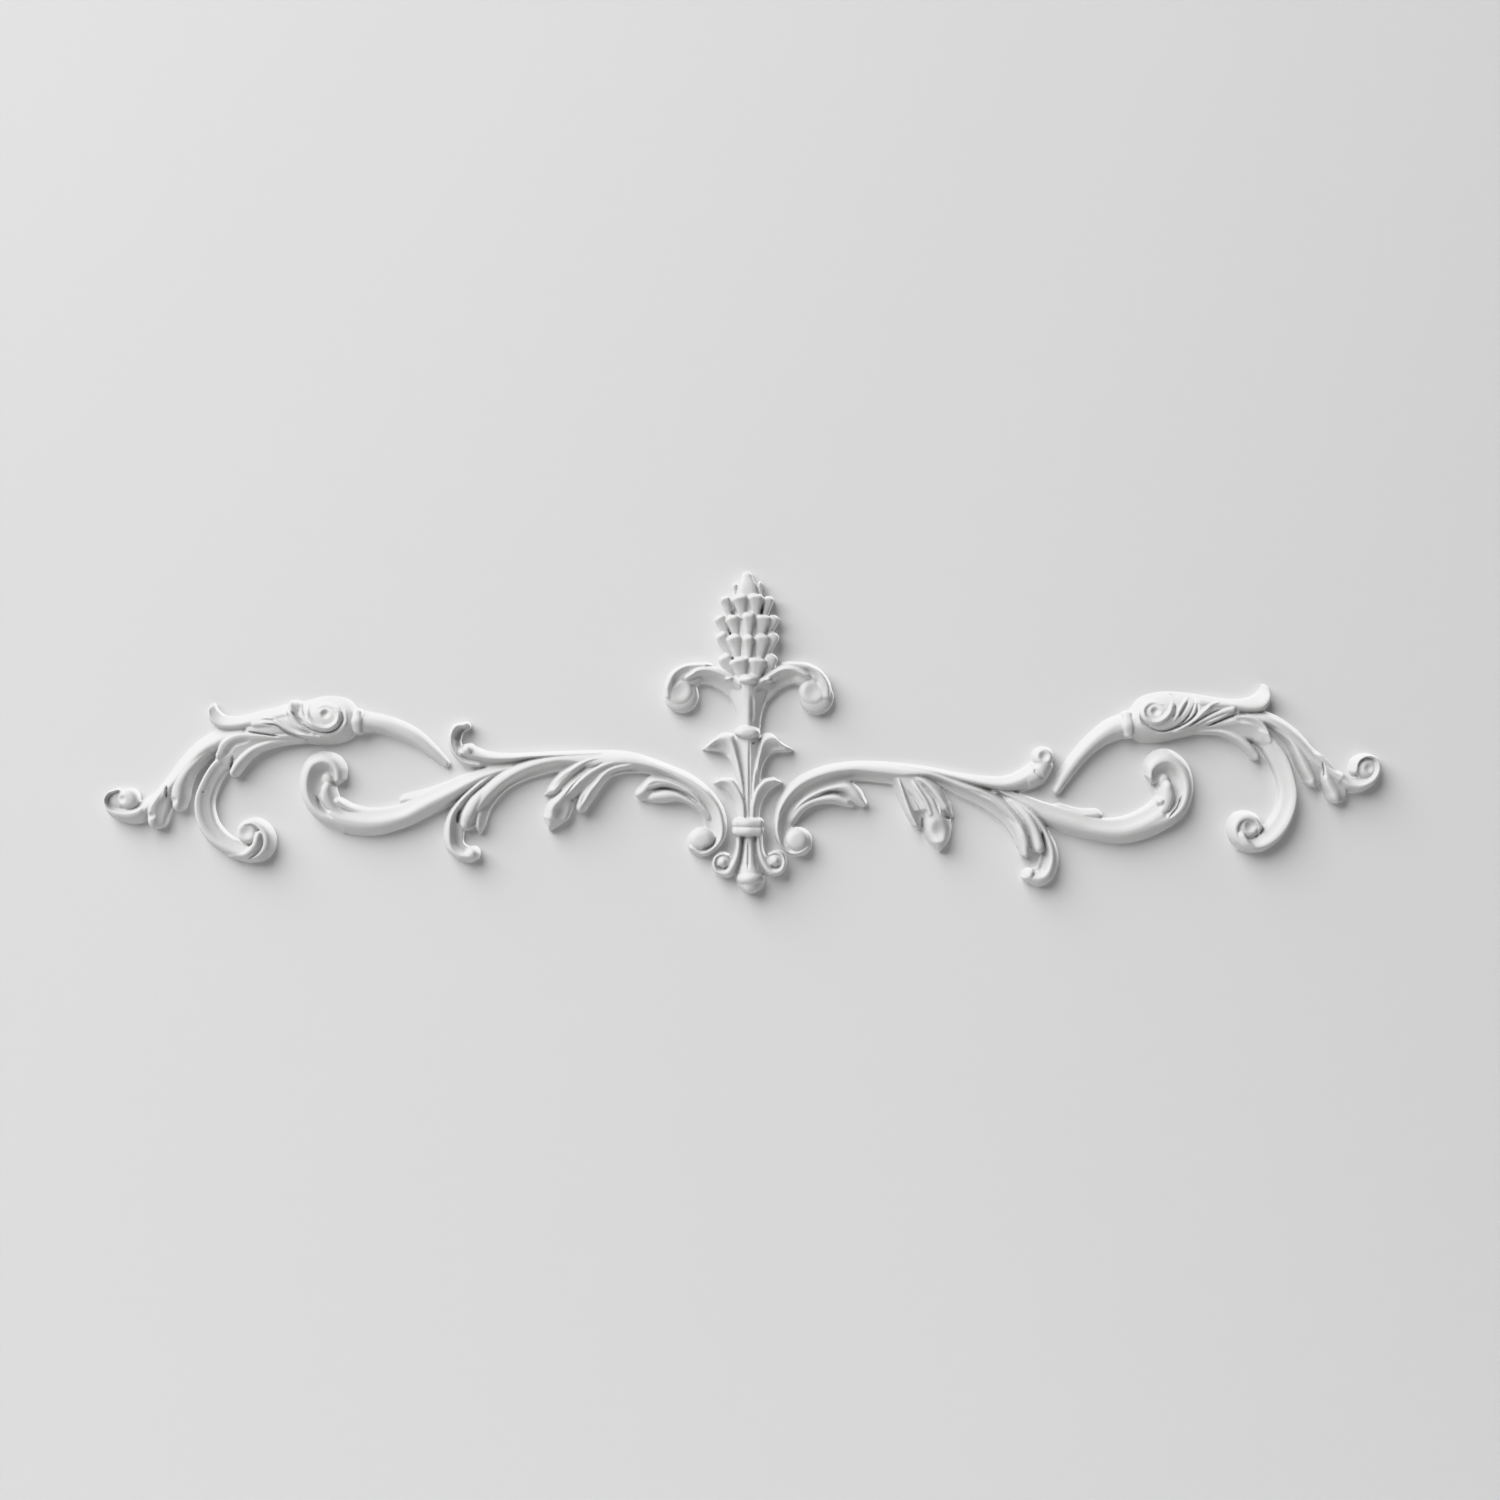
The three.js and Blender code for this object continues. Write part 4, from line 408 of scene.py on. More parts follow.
CENTRE = {
    "cone": ["round", "round", "cut", "round", [
        [736, 684, 760, 684, 0.7 * CONE], [731, 650, 766, 650, 0.7 * CONE],
        [731, 618, 766, 618, 0.68 * CONE], [736, 596, 760, 596, 0.62 * CONE],
    ]],
    "bud": ["bead", "bead", "cut", "round", [
        [741, 626, 756, 626, 0.6 * CONE], [738.5, 610, 758.5, 610, 0.66 * CONE],
        [737, 596, 758.5, 596, 0.7 * CONE], [738.5, 586, 757, 586, 0.68 * CONE],
        [741.5, 577, 752.5, 577, 0.6 * CONE, 0.48],
    ]],
    "upper_stem": ["flat", "flat", "cut", "cut", [
        [728, 681, 770, 681, 1.3], [731, 700, 767, 698, 1.15, 0.48], [736, 714, 762, 714, 1.08, 0.46],
        [738, 732, 760, 732, 1.02, 0.45],
    ]],
    "arm_left": ["round", "scoop", "cut", "round", [
        [740, 676, 741, 712, 1.15, 0.3], [724, 669, 729, 698, 1.12, 0.25],
        [708, 665, 716, 688, 1.15, 0.25], [696, 666, 704, 684, 1.18, 0.3], [688, 671, 695, 684, 1.15, 0.4],
    ]],
    "arm_volute_left": ["dish", "round", "cut", "cut", [
        [706, 676, 706, 662, 0.95, 0.75], [694, 680, 685, 663.5, 1.05, 0.78],
        [688, 686, 671, 671, 1.08, 0.8], [686, 692, 664, 685, 1.05, 0.8], [686, 697, 664, 697, 0.95, 0.8],
    ]],
    "arm_right": ["round", "scoop", "cut", "round", [
        [757, 676, 756, 712, 1.15, 0.3], [771, 669, 769, 699, 1.12, 0.25],
        [783, 664, 779, 689, 1.12, 0.25], [795, 664, 791, 684, 1.15, 0.3], [806, 669, 801, 684, 1.15, 0.4],
    ]],
    "arm_volute_right": ["dish", "round", "cut", "cut", [
        [789, 675, 788, 661, 0.95, 0.75], [800, 679, 807, 662.5, 1.05, 0.78],
        [806, 685, 822, 670, 1.08, 0.8], [808, 692, 831, 684, 1.05, 0.8], [808, 697, 832, 697, 0.95, 0.8],
    ]],
    "calyx_core": ["flat", "flat", "cut", "cut", [
        [734, 738, 762, 738, 1.05], [736.5, 765, 760.5, 765, 1.05], [739, 787, 758, 787, 1],
        [740, 834, 757, 834, 0.88],
    ]],
    "calyx_left": ["dish", "round", "cut", [701, 750], [
        [740, 800, 747, 796, 0.95], [736, 780, 744, 775, 1.05, 0.55], [731, 764, 739, 752, 1.1, 0.6],
        [722, 753, 733, 734, 1.12, 0.68], [713, 751, 722, 733, 1.08, 0.7], [707, 751, 712, 740, 1, 0.6],
    ]],
    "calyx_right": ["dish", "round", "cut", [794, 750], [
        [757, 800, 750, 796, 0.95], [760, 780, 752, 775, 1.05, 0.55], [763, 766, 757, 752, 1.1, 0.6],
        [771, 754, 762, 735, 1.12, 0.68], [781, 752, 771, 733, 1.08, 0.7], [788, 752, 780, 741, 1, 0.6],
    ]],
    "lower_calyx_left": ["flat", "round", "cut", [712, 783.5], [
        [737, 820, 748, 820, 1, 0.6], [734, 804, 747, 803, 1.1, 0.65], [728, 794, 742, 790, 1.12, 0.7],
        [721, 787, 733, 779, 1.08, 0.7], [716, 785, 722, 777.5, 1, 0.6],
    ]],
    "lower_calyx_right": ["flat", "round", "cut", [783, 782.5], [
        [759, 820, 748.5, 820, 1, 0.6], [761, 806, 750, 802, 1.1, 0.65], [766, 795, 755, 787, 1.12, 0.7],
        [773, 788, 763, 779, 1.08, 0.7], [778, 785, 773, 777, 1, 0.6],
    ]],
    "foot_left": ["round", "round", "cut", "round", [
        [734.5, 830, 742.5, 830, 1], [734.5, 848, 742, 849, 1], [730, 860, 739, 864, 1],
        [724, 868, 730, 877.5, 1], [718.5, 867, 716.5, 875.5, 1], [716.5, 862, 711.5, 864, 1],
        [718.5, 857.5, 715, 854.5, 0.95], [723, 856, 723, 852, 0.9], [727, 857.5, 729, 854, 0.85],
    ]],
    "foot_right": ["round", "round", "cut", "round", [
        [762.5, 830, 754.5, 830, 1], [763.5, 848, 755.5, 850, 1], [768, 860, 759.5, 865, 1],
        [774, 867, 769.5, 876.5, 1], [779.5, 866, 782, 874, 1], [781.5, 860.5, 787, 862, 1],
        [779.5, 856, 783, 852.5, 0.95], [775, 854.5, 775, 850.5, 0.9], [770.5, 856, 768.5, 853, 0.85],
    ]],
    "drop": ["round", "round", "cut", "round", [
        [743, 830, 755, 830, 0.95], [741, 850, 757.5, 850, 1.02], [738.5, 863, 760, 863, 1.08],
        [735.5, 874, 765, 874, 1.2], [736, 879, 765, 879, 1.2],
    ]],
}
# Eyes and knobs: [centre x, y, half width, half height, top, squareness]
KNOBS = {
    "left_inner_scroll": [
        [702, 842, 15.5, 14.5, 0.85, DISC], [701.5, 839.5, 13.5, 11.5, EYE, DISC],
        [468.5, 749.5, 7, 6.5, 1.2, DOME], [472.5, 853.5, 7.5, 7.5, 1.04, DOME],
        [327, 780, 6, 8, 0.72, DISC],
    ],
    "right_inner_scroll": [
        [799, 842, 13.5, 14.5, 0.85, DISC], [797, 839.5, 12.5, 12.5, EYE, DISC],
        [1043, 757, 11, 10.5, 1.05, DISC], [1029, 875, 6.5, 7, 1.05, DOME],
        [1160, 801, 6.5, 5.5, 1.02, DOME], [1164, 781, 6, 8, 0.72, DISC],
    ],
    "left_outer_scroll": [
        [128.5, 799, 10.5, 11, 0.9, DISC], [119, 800, 13, 11, 0.62, DISC],
        [247.5, 832, 11, 12.5, 0.84, DISC],
    ],
    "right_outer_scroll": [[1366, 768, 10, 11, 0.84, DISC], [1247, 828, 12, 12.5, 0.9, DISC]],
    "centre_finial": [
        [748.7, 680, 12.5, 6.5, CUP, DOME], [729.5, 679, 6.5, 3.5, 1.3, DOME],
        [768, 680, 6, 3.5, 1.3, DOME], [747.5, 732.5, 13, 7, 1.42, DISC], [750, 878, 14.5, 9, 1.42, DOME],
        [722.8, 862, 8.5, 8.5, 0.92, DISC], [775, 861, 8.5, 8.5, 0.92, DISC],
        [722.8, 861.5, 6.2, 6.2, 1.1, DOME], [775, 860.3, 6.5, 6.5, 1.1, DOME],
        [690, 676, 14, 11, 0.8, DISC], [681, 695.5, 17.5, 17.5, 0.8, DISC],
        [679.5, 692, 15, 14.5, 0.98, DISC], [805, 676, 14, 11, 0.8, DISC],
        [816.5, 697, 17.5, 17.5, 0.8, DISC], [813, 692, 14.5, 14.5, 0.98, DISC],
    ],
}

# The cone's scales from the top: lip x, y, root x, y, width of the lip, height as a share of the cone's
CONE_SCALES = [
    (735, 584, 735.5, 600, 5, 0.55), (760, 582, 760.5, 600, 4.5, 0.62),
    (724.5, 597.5, 729.5, 617, 10.5, 0.74), (769.5, 597.5, 764.5, 617, 10.5, 0.74),
    (739.5, 596.5, 743, 619, 15.5, 0.98), (756, 595.5, 755.5, 619, 15.5, 0.98),
    (719, 616.5, 727.5, 637, 11.5, 0.68), (775, 616.5, 766.5, 637, 11.5, 0.68),
    (732, 616.5, 737, 640, 13.5, 0.88), (763.5, 616, 760.5, 640, 15.5, 0.88),
    (749, 614, 748.5, 642, 13, 1.03), (720, 634, 730.5, 658, 12, 0.68),
    (774.5, 634, 764.5, 659, 12.5, 0.68), (733.5, 636, 738.5, 661, 14.5, 0.88),
    (762.5, 635.5, 759.5, 661, 15.5, 0.88), (748.5, 636.5, 748.8, 663, 11.5, 1.02),
    (723.5, 656, 733, 682, 14, 0.7), (772.5, 655.5, 763, 682, 13.5, 0.7), (739, 659, 743, 682, 19, 1),
    (758, 659, 755, 682, 18, 1),
]

# Strokes that are carved into a casting: half width, depth as a share of BAND_RELIEF, points along it.
# A stroke of one point is a pit, and a negative depth draws a ridge up.
STROKES = {
    "centre_finial": [
        (14, 0.18, [(680, 691.5)]), (13.5, 0.18, [(813, 692)]),
        (5, 0.12, [(691, 668), (680, 675), (674, 685)]), (4.5, 0.12, [(804, 669), (815, 676), (819, 686)]),
        (1.8, 0.2, [(753.5, 743)]), (1.7, 0.1, [(749.5, 742), (749.5, 765), (749.5, 790), (749.5, 816)]),
        (1.6, 0.08, [(757.5, 745), (756.5, 770), (755, 795)]),
        (3, 0.1, [(752, 696), (752.5, 710), (752, 723)]),
        (3.5, 0.12, [(757, 692), (765, 684), (778, 679)]),
        (2, 0.2, [(718, 866), (723, 868.5), (728, 866)]),
        (2, 0.2, [(770.5, 865), (775, 867.5), (780, 865)]),
        (1.8, 0.16, [(748.3, 841), (748.3, 856), (748, 869)]),
        (1.8, 0.12, [(754, 841), (755, 856), (757, 869)]), (5, 0.12, [(714, 746), (723, 747), (730, 758)]),
        (5, 0.12, [(783, 746), (773, 747), (765, 758)]),
    ],
    "left_inner_scroll": [
        (2.2, 0.2, [(648, 790), (662, 788), (677, 791), (692, 799)]),
        (2.5, 0.08, [(649, 785), (658, 782.5), (668, 784), (680, 789)]),
        (3.5, 0.25, [(716, 838), (711.5, 845), (703, 849)]), (10, 0.2, [(562, 811)]),
        (3.5, 0.08, [(546, 806), (547, 816), (549, 824)]), (3, 0.12, [(600, 776), (588, 790), (582, 803)]),
        (4, 0.1, [(570, 772), (558, 783), (551, 790)]), (1.8, 0.4, [(461, 808), (457.5, 815), (457, 823)]),
        (5, 0.2, [(464, 727), (458, 733), (457, 741)]), (1.8, 0.5, [(572.5, 798), (572.5, 811)]),
        (2, 0.16, [(603, 763), (590, 770), (577, 782), (567, 794)]),
        (1.8, 0.28, [(316, 796), (321, 807), (333, 817)]),
    ],
    "right_inner_scroll": [
        (2, 0.16, [(820, 794), (831, 791), (842, 792), (849, 796)]),
        (2, 0.06, [(783, 818), (792, 805), (806, 795)]), (2, 0.06, [(779, 816), (786, 804), (800, 791)]),
        (2.5, 0.2, [(781, 838), (785, 847), (793, 853)]), (1.6, 0.3, [(922.5, 817), (923, 831)]),
        (12, 0.24, [(938, 831)]), (2, 0.12, [(908, 791), (917, 803), (922, 814)]),
        (2.5, 0.16, [(920, 781), (933, 797), (939, 813)]), (1.8, 0.25, [(944, 816.5), (953, 819)]),
        (1.6, 0.6, [(1041.5, 832), (1044, 841), (1046, 850)]), (7, 0.2, [(1043, 756)]),
        (3.5, 0.14, [(1033, 769), (1039, 775), (1043, 779)]),
        (2.5, 0.12, [(968, 789), (993, 800), (1010, 816), (1020, 833)]), (2.5, 0.2, [(1033, 874)]),
        (5, 0.2, [(1045, 845), (1046, 860), (1041, 874)]),
        (1.8, 0.3, [(1168, 817), (1177, 807), (1181, 796)]),
    ],
    "left_outer_scroll": [
        (4, -0.2, [
            (309, 704), (310.5, 718), (319, 726), (330, 728.5), (339, 723), (341, 714), (336, 707),
            (328, 704.5), (319, 707),
        ]),
        (3, -0.1, [(289, 720), (305, 733), (325, 737), (340, 733.5), (348, 722), (347, 710)]),
        (5.5, 0.26, [(327.5, 714)]),
        (1.7, 0.2, [(342, 708), (345, 719), (338, 729), (328, 732.5), (314, 730), (302, 722), (294, 712)]),
        (1.7, 0.2, [(302, 703), (307, 715), (314, 724)]), (1.7, 0.2, [(294, 711), (300, 718), (306, 723)]),
        (2.5, -0.12, [(288, 705), (289, 714), (298, 725), (311, 732)]),
        (2.6, -0.14, [(263, 718), (275, 719), (286, 727), (299, 734), (316, 738)]),
        (1.7, 0.24, [(266, 724), (279, 726), (289, 733), (304, 738)]),
        (1.7, 0.3, [(250, 732), (267, 734.5), (281, 736.5)]),
        (4, 0.14, [(251, 740), (236, 744), (226, 756)]), (9, 0.16, [(247, 832)]),
        (1.7, 0.2, [(265, 838), (261, 851), (247, 860)]), (5, 0.14, [(123.5, 799)]),
        (4.5, 0.12, [(154, 815)]), (4.5, 0.12, [(176, 800)]), (1.6, 0.45, [(168.5, 786), (167.5, 797)]),
        (1.6, 0.4, [(234, 756), (230, 768)]), (1.8, 0.1, [(205, 792)]),
    ],
    "right_outer_scroll": [
        (4, -0.2, [
            (1171, 702), (1167, 713), (1160, 720), (1151, 722.5), (1143, 718), (1141, 710), (1146, 703.5),
            (1153, 702), (1160, 705),
        ]),
        (3, -0.1, [(1136, 712), (1139, 725), (1152, 734), (1167, 734), (1180, 728)]),
        (5.5, 0.24, [(1153.6, 711.5)]),
        (1.7, 0.22, [
            (1138, 710), (1140, 720), (1151, 729), (1163, 731), (1174, 727), (1186, 717), (1193, 704),
        ]),
        (2, 0.24, [(1174, 705), (1173.5, 712), (1171, 718)]),
        (1.8, 0.22, [(1187, 702), (1182, 710), (1177, 717)]),
        (2.4, -0.1, [(1189, 695), (1180, 706), (1172, 721)]),
        (1.8, 0.28, [(1171, 730), (1186, 722), (1194.5, 713), (1196, 704)]),
        (2.4, -0.12, [(1179, 729), (1194, 718), (1206, 707), (1219, 701)]),
        (1.7, 0.2, [(1188, 726), (1199, 719), (1211, 713), (1222, 709)]),
        (2.4, -0.12, [(1195, 728), (1208, 722), (1222, 716), (1233, 711)]),
        (1.7, 0.28, [(1207, 726), (1223, 719), (1237, 714)]), (1.4, 0.12, [(1170, 694), (1177, 697)]),
        (4, 0.14, [(1233, 719), (1250, 722), (1264, 732)]), (7, 0.22, [(1249, 826)]),
        (6, 0.14, [(1368, 768)]), (1.6, 0.25, [(1321, 762), (1323, 778)]),
    ],
}


def place(x, y, share):
    """A place on the sheet, at a height given as a share of BAND_RELIEF, in metres."""
    return ((x - TIE_ON_SHEET[0]) * SQUARE, -share * BAND_RELIEF, (TIE_ON_SHEET[1] - y) * SQUARE)


def rail(points, at):
    """A smooth curve through the points, read at whole and part numbers of them (centripetal Catmull-Rom)."""
    p = np.array(points, float)
    p = np.vstack([2 * p[0] - p[1], p, 2 * p[-1] - p[-2]])
    out = []
    for t in at:
        i = min(int(t), len(points) - 2)
        a, b, c, d = p[i : i + 4]
        gap = [max(math.sqrt(np.linalg.norm(v)), LEAST_GAP) for v in (b - a, c - b, d - c)]
        leave = ((b - a) / gap[0] - (c - a) / (gap[0] + gap[1]) + (c - b) / gap[1]) * gap[1]
        arrive = ((c - b) / gap[1] - (d - b) / (gap[1] + gap[2]) + (d - c) / gap[2]) * gap[1]
        u = t - i
        u2, u3 = u * u, u * u * u
        out_of_b = (2 * u3 - 3 * u2 + 1) * b + (u3 - 2 * u2 + u) * leave
        out.append(out_of_b + (3 * u2 - 2 * u3) * c + (u3 - u2) * arrive)
    return np.array(out)


def gaps(points):
    """The distances from each point to the next."""
    return np.linalg.norm(np.diff(np.array(points, float), axis=0), axis=1)


def spaced(points, step):
    """Where a rail through the points is read, so that its points come every step squares or so."""
    at = []
    for i, gap in enumerate(gaps([p[:2] for p in points])):
        n = max(1, round(gap / step))
        at += [i + k / n for k in range(n)]
    return at + [len(points) - 1]


def smooth_stations(stations):
    """The stations of a band, set closer along smooth curves through its two edges."""
    a = [(s[0], s[1], s[4]) for s in stations]
    b = [(s[2], s[3], s[5] if len(s) > 5 else HALFWAY) for s in stations]
    at = spaced(max(a, b, key=lambda edge: gaps(edge).sum()), STATION_STEP)
    return [[*p[:2], *q[:2], p[2], q[2]] for p, q in zip(rail(a, at), rail(b, at))]


def last_run(last, before):
    """The middle of a band's last station, half its width, and the way that the band runs there."""
    middle = np.array([(last[0] + last[2]) / 2, (last[1] + last[3]) / 2])
    half = np.array([(last[2] - last[0]) / 2, (last[3] - last[1]) / 2])
    run = middle - np.array([(before[0] + before[2]) / 2, (before[1] + before[3]) / 2])
    return middle, half, run


def round_end(last, before):
    """Stations that round a band's end off over half its width."""
    middle, half, run = last_run(last, before)
    forward = np.array([-half[1], half[0]])
    if run @ forward < 0:
        forward = -forward
    made = []
    for k in range(1, CAP_STEPS + 1):
        turn = k / CAP_STEPS * math.radians(CAP_TURN)
        at = middle + forward * math.sin(turn)
        wide = half * math.cos(turn)
        made.append([*(at - wide), *(at + wide), last[4] * math.cos(turn) ** CAP_DROP, last[5]])
    return made


def sunk_end(last, before):
    """Stations that carry a band on a little way while it narrows and sinks into its neighbour."""
    middle, half, run = last_run(last, before)
    run *= SINK / np.linalg.norm(run)
    made = []
    for k in range(1, SINK_STEPS + 1):
        t = k / SINK_STEPS
        at = middle + run * t
        wide = half * (1 - SINK_NARROWING * t)
        made.append([*(at - wide), *(at + wide), last[4] * (1 - SINK_DROP * t), last[5]])
    return made


def tip_end(last, tip):
    """Stations that draw a band out to a pointed tip."""
    made = []
    for k in range(1, CAP_STEPS + 1):
        t = k / CAP_STEPS * TIP_REACH
        keep = (1 - t) ** TIP_NARROWING
        edges = [to + (come - to) * keep for to, come in zip(tip * 2, last)]
        made.append([*edges, last[4] * (1 - t) ** TIP_DROP, last[5]])
    return made


def ending(kind, last, before):
    """The stations of an end of the kind that a band's table gives."""
    if kind == "cut":
        return sunk_end(last, before)
    if kind == "round":
        return round_end(last, before)
    return tip_end(last, kind)


def half_section(side):
    """A side's points from its foot to the crest, closer together near the foot."""
    across, high = zip(*SIDES[side])
    at = np.linspace(0, 1, SIDE_POINTS) ** SIDE_CROWDING
    return list(zip(at, np.interp(at, across, high)))


def section(station, side_a, side_b):
    """The outline of one cross-section, foot to foot, run on behind the wall face."""
    ax, ay, bx, by, crest, ridge = station
    rising = [(u * ridge, h) for u, h in half_section(side_a)]
    falling = [(1 - u * (1 - ridge), h) for u, h in half_section(side_b)][:-1][::-1]
    ring = [place(ax + (bx - ax) * u, ay + (by - ay) * u, h * crest) for u, h in rising + falling]
    back = [(x, BURIED, z) for x, _, z in (ring[-1], ring[0])]
    return ring + back


def loft(rings):
    """A closed mesh over rings of points, as (points, faces)."""
    n = len(rings[0])
    points = [p for ring in rings for p in ring]
    faces = [tuple(range(n)), tuple((len(rings) - 1) * n + k for k in range(n))[::-1]]
    for i in range(len(rings) - 1):
        for k in range(n):
            j = (k + 1) % n
            faces.append((i * n + j, i * n + k, (i + 1) * n + k, (i + 1) * n + j))
    return points, faces


def band(form):
    """A band from its table, as (points, faces)."""
    side_a, side_b, start, end, stations = form
    run = smooth_stations(stations)
    run = ending(start, run[0], run[1])[::-1] + run + ending(end, run[-1], run[-2])
    return loft([section(s, side_a, side_b) for s in run])


def knob(form):
    """A round or oval dome that stands out of the wall."""
    x, y, half_width, half_height, top, squareness = form
    turns = [2 * math.pi * k / KNOB_SIDES for k in range(KNOB_SIDES)]
    profile = [(1, KNOB_FOOT)] + [(out, (1 - out**squareness) ** (1 / squareness)) for out in KNOB_RINGS]
    rings = []
    for out, high in profile:
        rings.append([
            place(x + half_width * out * math.cos(t), y + half_height * out * math.sin(t), high * top)
            for t in turns
        ])
    return loft(rings)


# A scale of unit size: (how far along from root to lip, half width, height), and the left half of its
# section: (share of the half width, share of the height)
PETAL_RUN = [
    (0, 0.25, 0.74), (0.3, 0.31, 0.8), (0.55, 0.385, 0.86), (0.74, 0.46, 0.93), (0.84, 0.49, 0.98),
    (0.91, 0.47, 1), (0.965, 0.41, 0.96), (1.01, 0.31, 0.87), (1.04, 0.19, 0.73), (1.055, 0.08, 0.55),
]
PETAL_ACROSS = [(-1, -0.25), (-1, 0.7), (-0.92, 0.85), (-0.76, 0.94), (-0.5, 0.985), (-0.25, 1), (0, 1)]


def unit_petal():
    """One scale of unit size, standing on the origin with its lip up."""
    across = PETAL_ACROSS + [(-u, h) for u, h in PETAL_ACROSS[:-1]][::-1]
    rings = [[(u * half, -h * top, along) for u, h in across] for along, half, top in PETAL_RUN]
    mesh = mesh_of("petal", [loft(rings)])
    petal = bpy.data.objects.new("petal", mesh)
    bpy.context.collection.objects.link(petal)
    return petal


def scale_tree():
    """Sets a petal on every point, turned by the point's lean and sized by its size."""
    tree = bpy.data.node_groups.new("cone_scales", "GeometryNodeTree")
    face = tree.interface
    face.new_socket("Geometry", in_out="INPUT", socket_type="NodeSocketGeometry")
    face.new_socket("Petal", in_out="INPUT", socket_type="NodeSocketObject")
    face.new_socket("Square", in_out="INPUT", socket_type="NodeSocketFloat")
    face.new_socket("Relief", in_out="INPUT", socket_type="NodeSocketFloat")
    face.new_socket("Finish", in_out="INPUT", socket_type="NodeSocketMaterial")
    face.new_socket("Geometry", in_out="OUTPUT", socket_type="NodeSocketGeometry")
    add, link = tree.nodes.new, tree.links.new
    given, out = add("NodeGroupInput"), add("NodeGroupOutput")
    size, lean = add("GeometryNodeInputNamedAttribute"), add("GeometryNodeInputNamedAttribute")
    size.data_type = "FLOAT_VECTOR"
    size.inputs["Name"].default_value = "size"
    lean.data_type = "FLOAT_VECTOR"
    lean.inputs["Name"].default_value = "lean"
    unit, scaled = add("ShaderNodeCombineXYZ"), add("ShaderNodeVectorMath")
    scaled.operation = "MULTIPLY"
    for source, target in (("Square", "X"), ("Relief", "Y"), ("Square", "Z")):
        link(given.outputs[source], unit.inputs[target])
    link(size.outputs["Attribute"], scaled.inputs[0])
    link(unit.outputs["Vector"], scaled.inputs[1])
    turned, petal = add("FunctionNodeEulerToRotation"), add("GeometryNodeObjectInfo")
    link(lean.outputs["Attribute"], turned.inputs["Euler"])
    link(given.outputs["Petal"], petal.inputs["Object"])
    each = add("GeometryNodeInstanceOnPoints")
    link(given.outputs["Geometry"], each.inputs["Points"])
    link(petal.outputs["Geometry"], each.inputs["Instance"])
    link(turned.outputs["Rotation"], each.inputs["Rotation"])
    link(scaled.outputs["Vector"], each.inputs["Scale"])
    real, finished = add("GeometryNodeRealizeInstances"), add("GeometryNodeSetMaterial")
    link(each.outputs["Instances"], real.inputs["Geometry"])
    link(real.outputs["Geometry"], finished.inputs["Geometry"])
    link(given.outputs["Finish"], finished.inputs["Material"])
    link(finished.outputs["Geometry"], out.inputs["Geometry"])
    return tree


def cone_scales():
    """The cone's scales, as one form of separate shells."""
    roots, sizes, leans = [], [], []
    for lip_x, lip_y, root_x, root_y, width, top in CONE_SCALES:
        roots.append(place(root_x, root_y, 0))
        sizes += [width, top, math.hypot(lip_x - root_x, lip_y - root_y)]
        leans += [0, math.atan2(lip_x - root_x, root_y - lip_y), 0]
    mesh = bpy.data.meshes.new("scale_roots")
    mesh.from_pydata(roots, [], [])
    for name, values in (("size", sizes), ("lean", leans)):
        mesh.attributes.new(name, "FLOAT_VECTOR", "POINT").data.foreach_set("vector", values)
    obj = bpy.data.objects.new("cone_scales", mesh)
    bpy.context.collection.objects.link(obj)
    petal, tree = unit_petal(), scale_tree()
    modifier = obj.modifiers.new("Cone scales", "NODES")
    modifier.node_group = tree
    inputs = {"Petal": petal, "Square": SQUARE, "Relief": CONE_RELIEF, "Finish": plaster}
    for item in tree.interface.items_tree:
        if item.in_out == "INPUT" and item.name in inputs:
            modifier[item.identifier] = inputs[item.name]
    made = with_modifiers(obj).data
    form = [tuple(v.co) for v in made.vertices], [tuple(f.vertices) for f in made.polygons]
    bpy.data.objects.remove(obj)
    bpy.data.objects.remove(petal)
    return form


def tie_bands():
    """The tables of two rounded bands across the stem, one above the other."""
    height, lap = TIE_BAND_HEIGHT / SQUARE, TIE_LAP / SQUARE
    reach = (TIE_WIDTH / SQUARE - height) / 2
    middle, joint = TIE_ON_SHEET[0], TIE_ON_SHEET[1] - TIE_RISE
    made = []
    for top in (joint - height + lap, joint - lap):
        places = [(middle - reach, TIE_SIDES), (middle, TIE), (middle + reach, TIE_SIDES)]
        stations = [[x, top, x, top + height, crest] for x, crest in places]
        made.append(["bead", "bead", "round", "round", stations])
    return made


def mesh_of(name, forms):
    """One mesh of every form, still separate shells."""
    points, faces = [], []
    for form_points, form_faces in forms:
        faces += [tuple(k + len(points) for k in face) for face in form_faces]
        points += form_points
    mesh = bpy.data.meshes.new(name)
    mesh.from_pydata(points, [], faces)
    work = bmesh.new()
    work.from_mesh(mesh)
    bmesh.ops.recalc_face_normals(work, faces=work.faces)
    work.to_mesh(mesh)
    work.free()
    return mesh


def with_modifiers(obj, *modifiers):
    """The object's mesh with the modifiers applied, which are then removed."""
    for kind, settings in modifiers:
        modifier = obj.modifiers.new(kind.title(), kind)
        for key, value in settings.items():
            setattr(modifier, key, value)
    graph = bpy.context.evaluated_depsgraph_get()
    mesh = bpy.data.meshes.new_from_object(obj.evaluated_get(graph), depsgraph=graph)
    obj.modifiers.clear()
    obj.data = mesh
    return obj


def stroke_points(points):
    """A stroke's curve, read every square or so, with how far along it each point lies (0 to 1)."""
    if len(points) == 1:
        return np.array(points, float), np.array([0.5])
    curve = rail([(x, y, 0) for x, y in points], spaced(points, 1))[:, :2]
    run = np.r_[0, np.cumsum(gaps(curve))]
    return curve, run / run[-1]


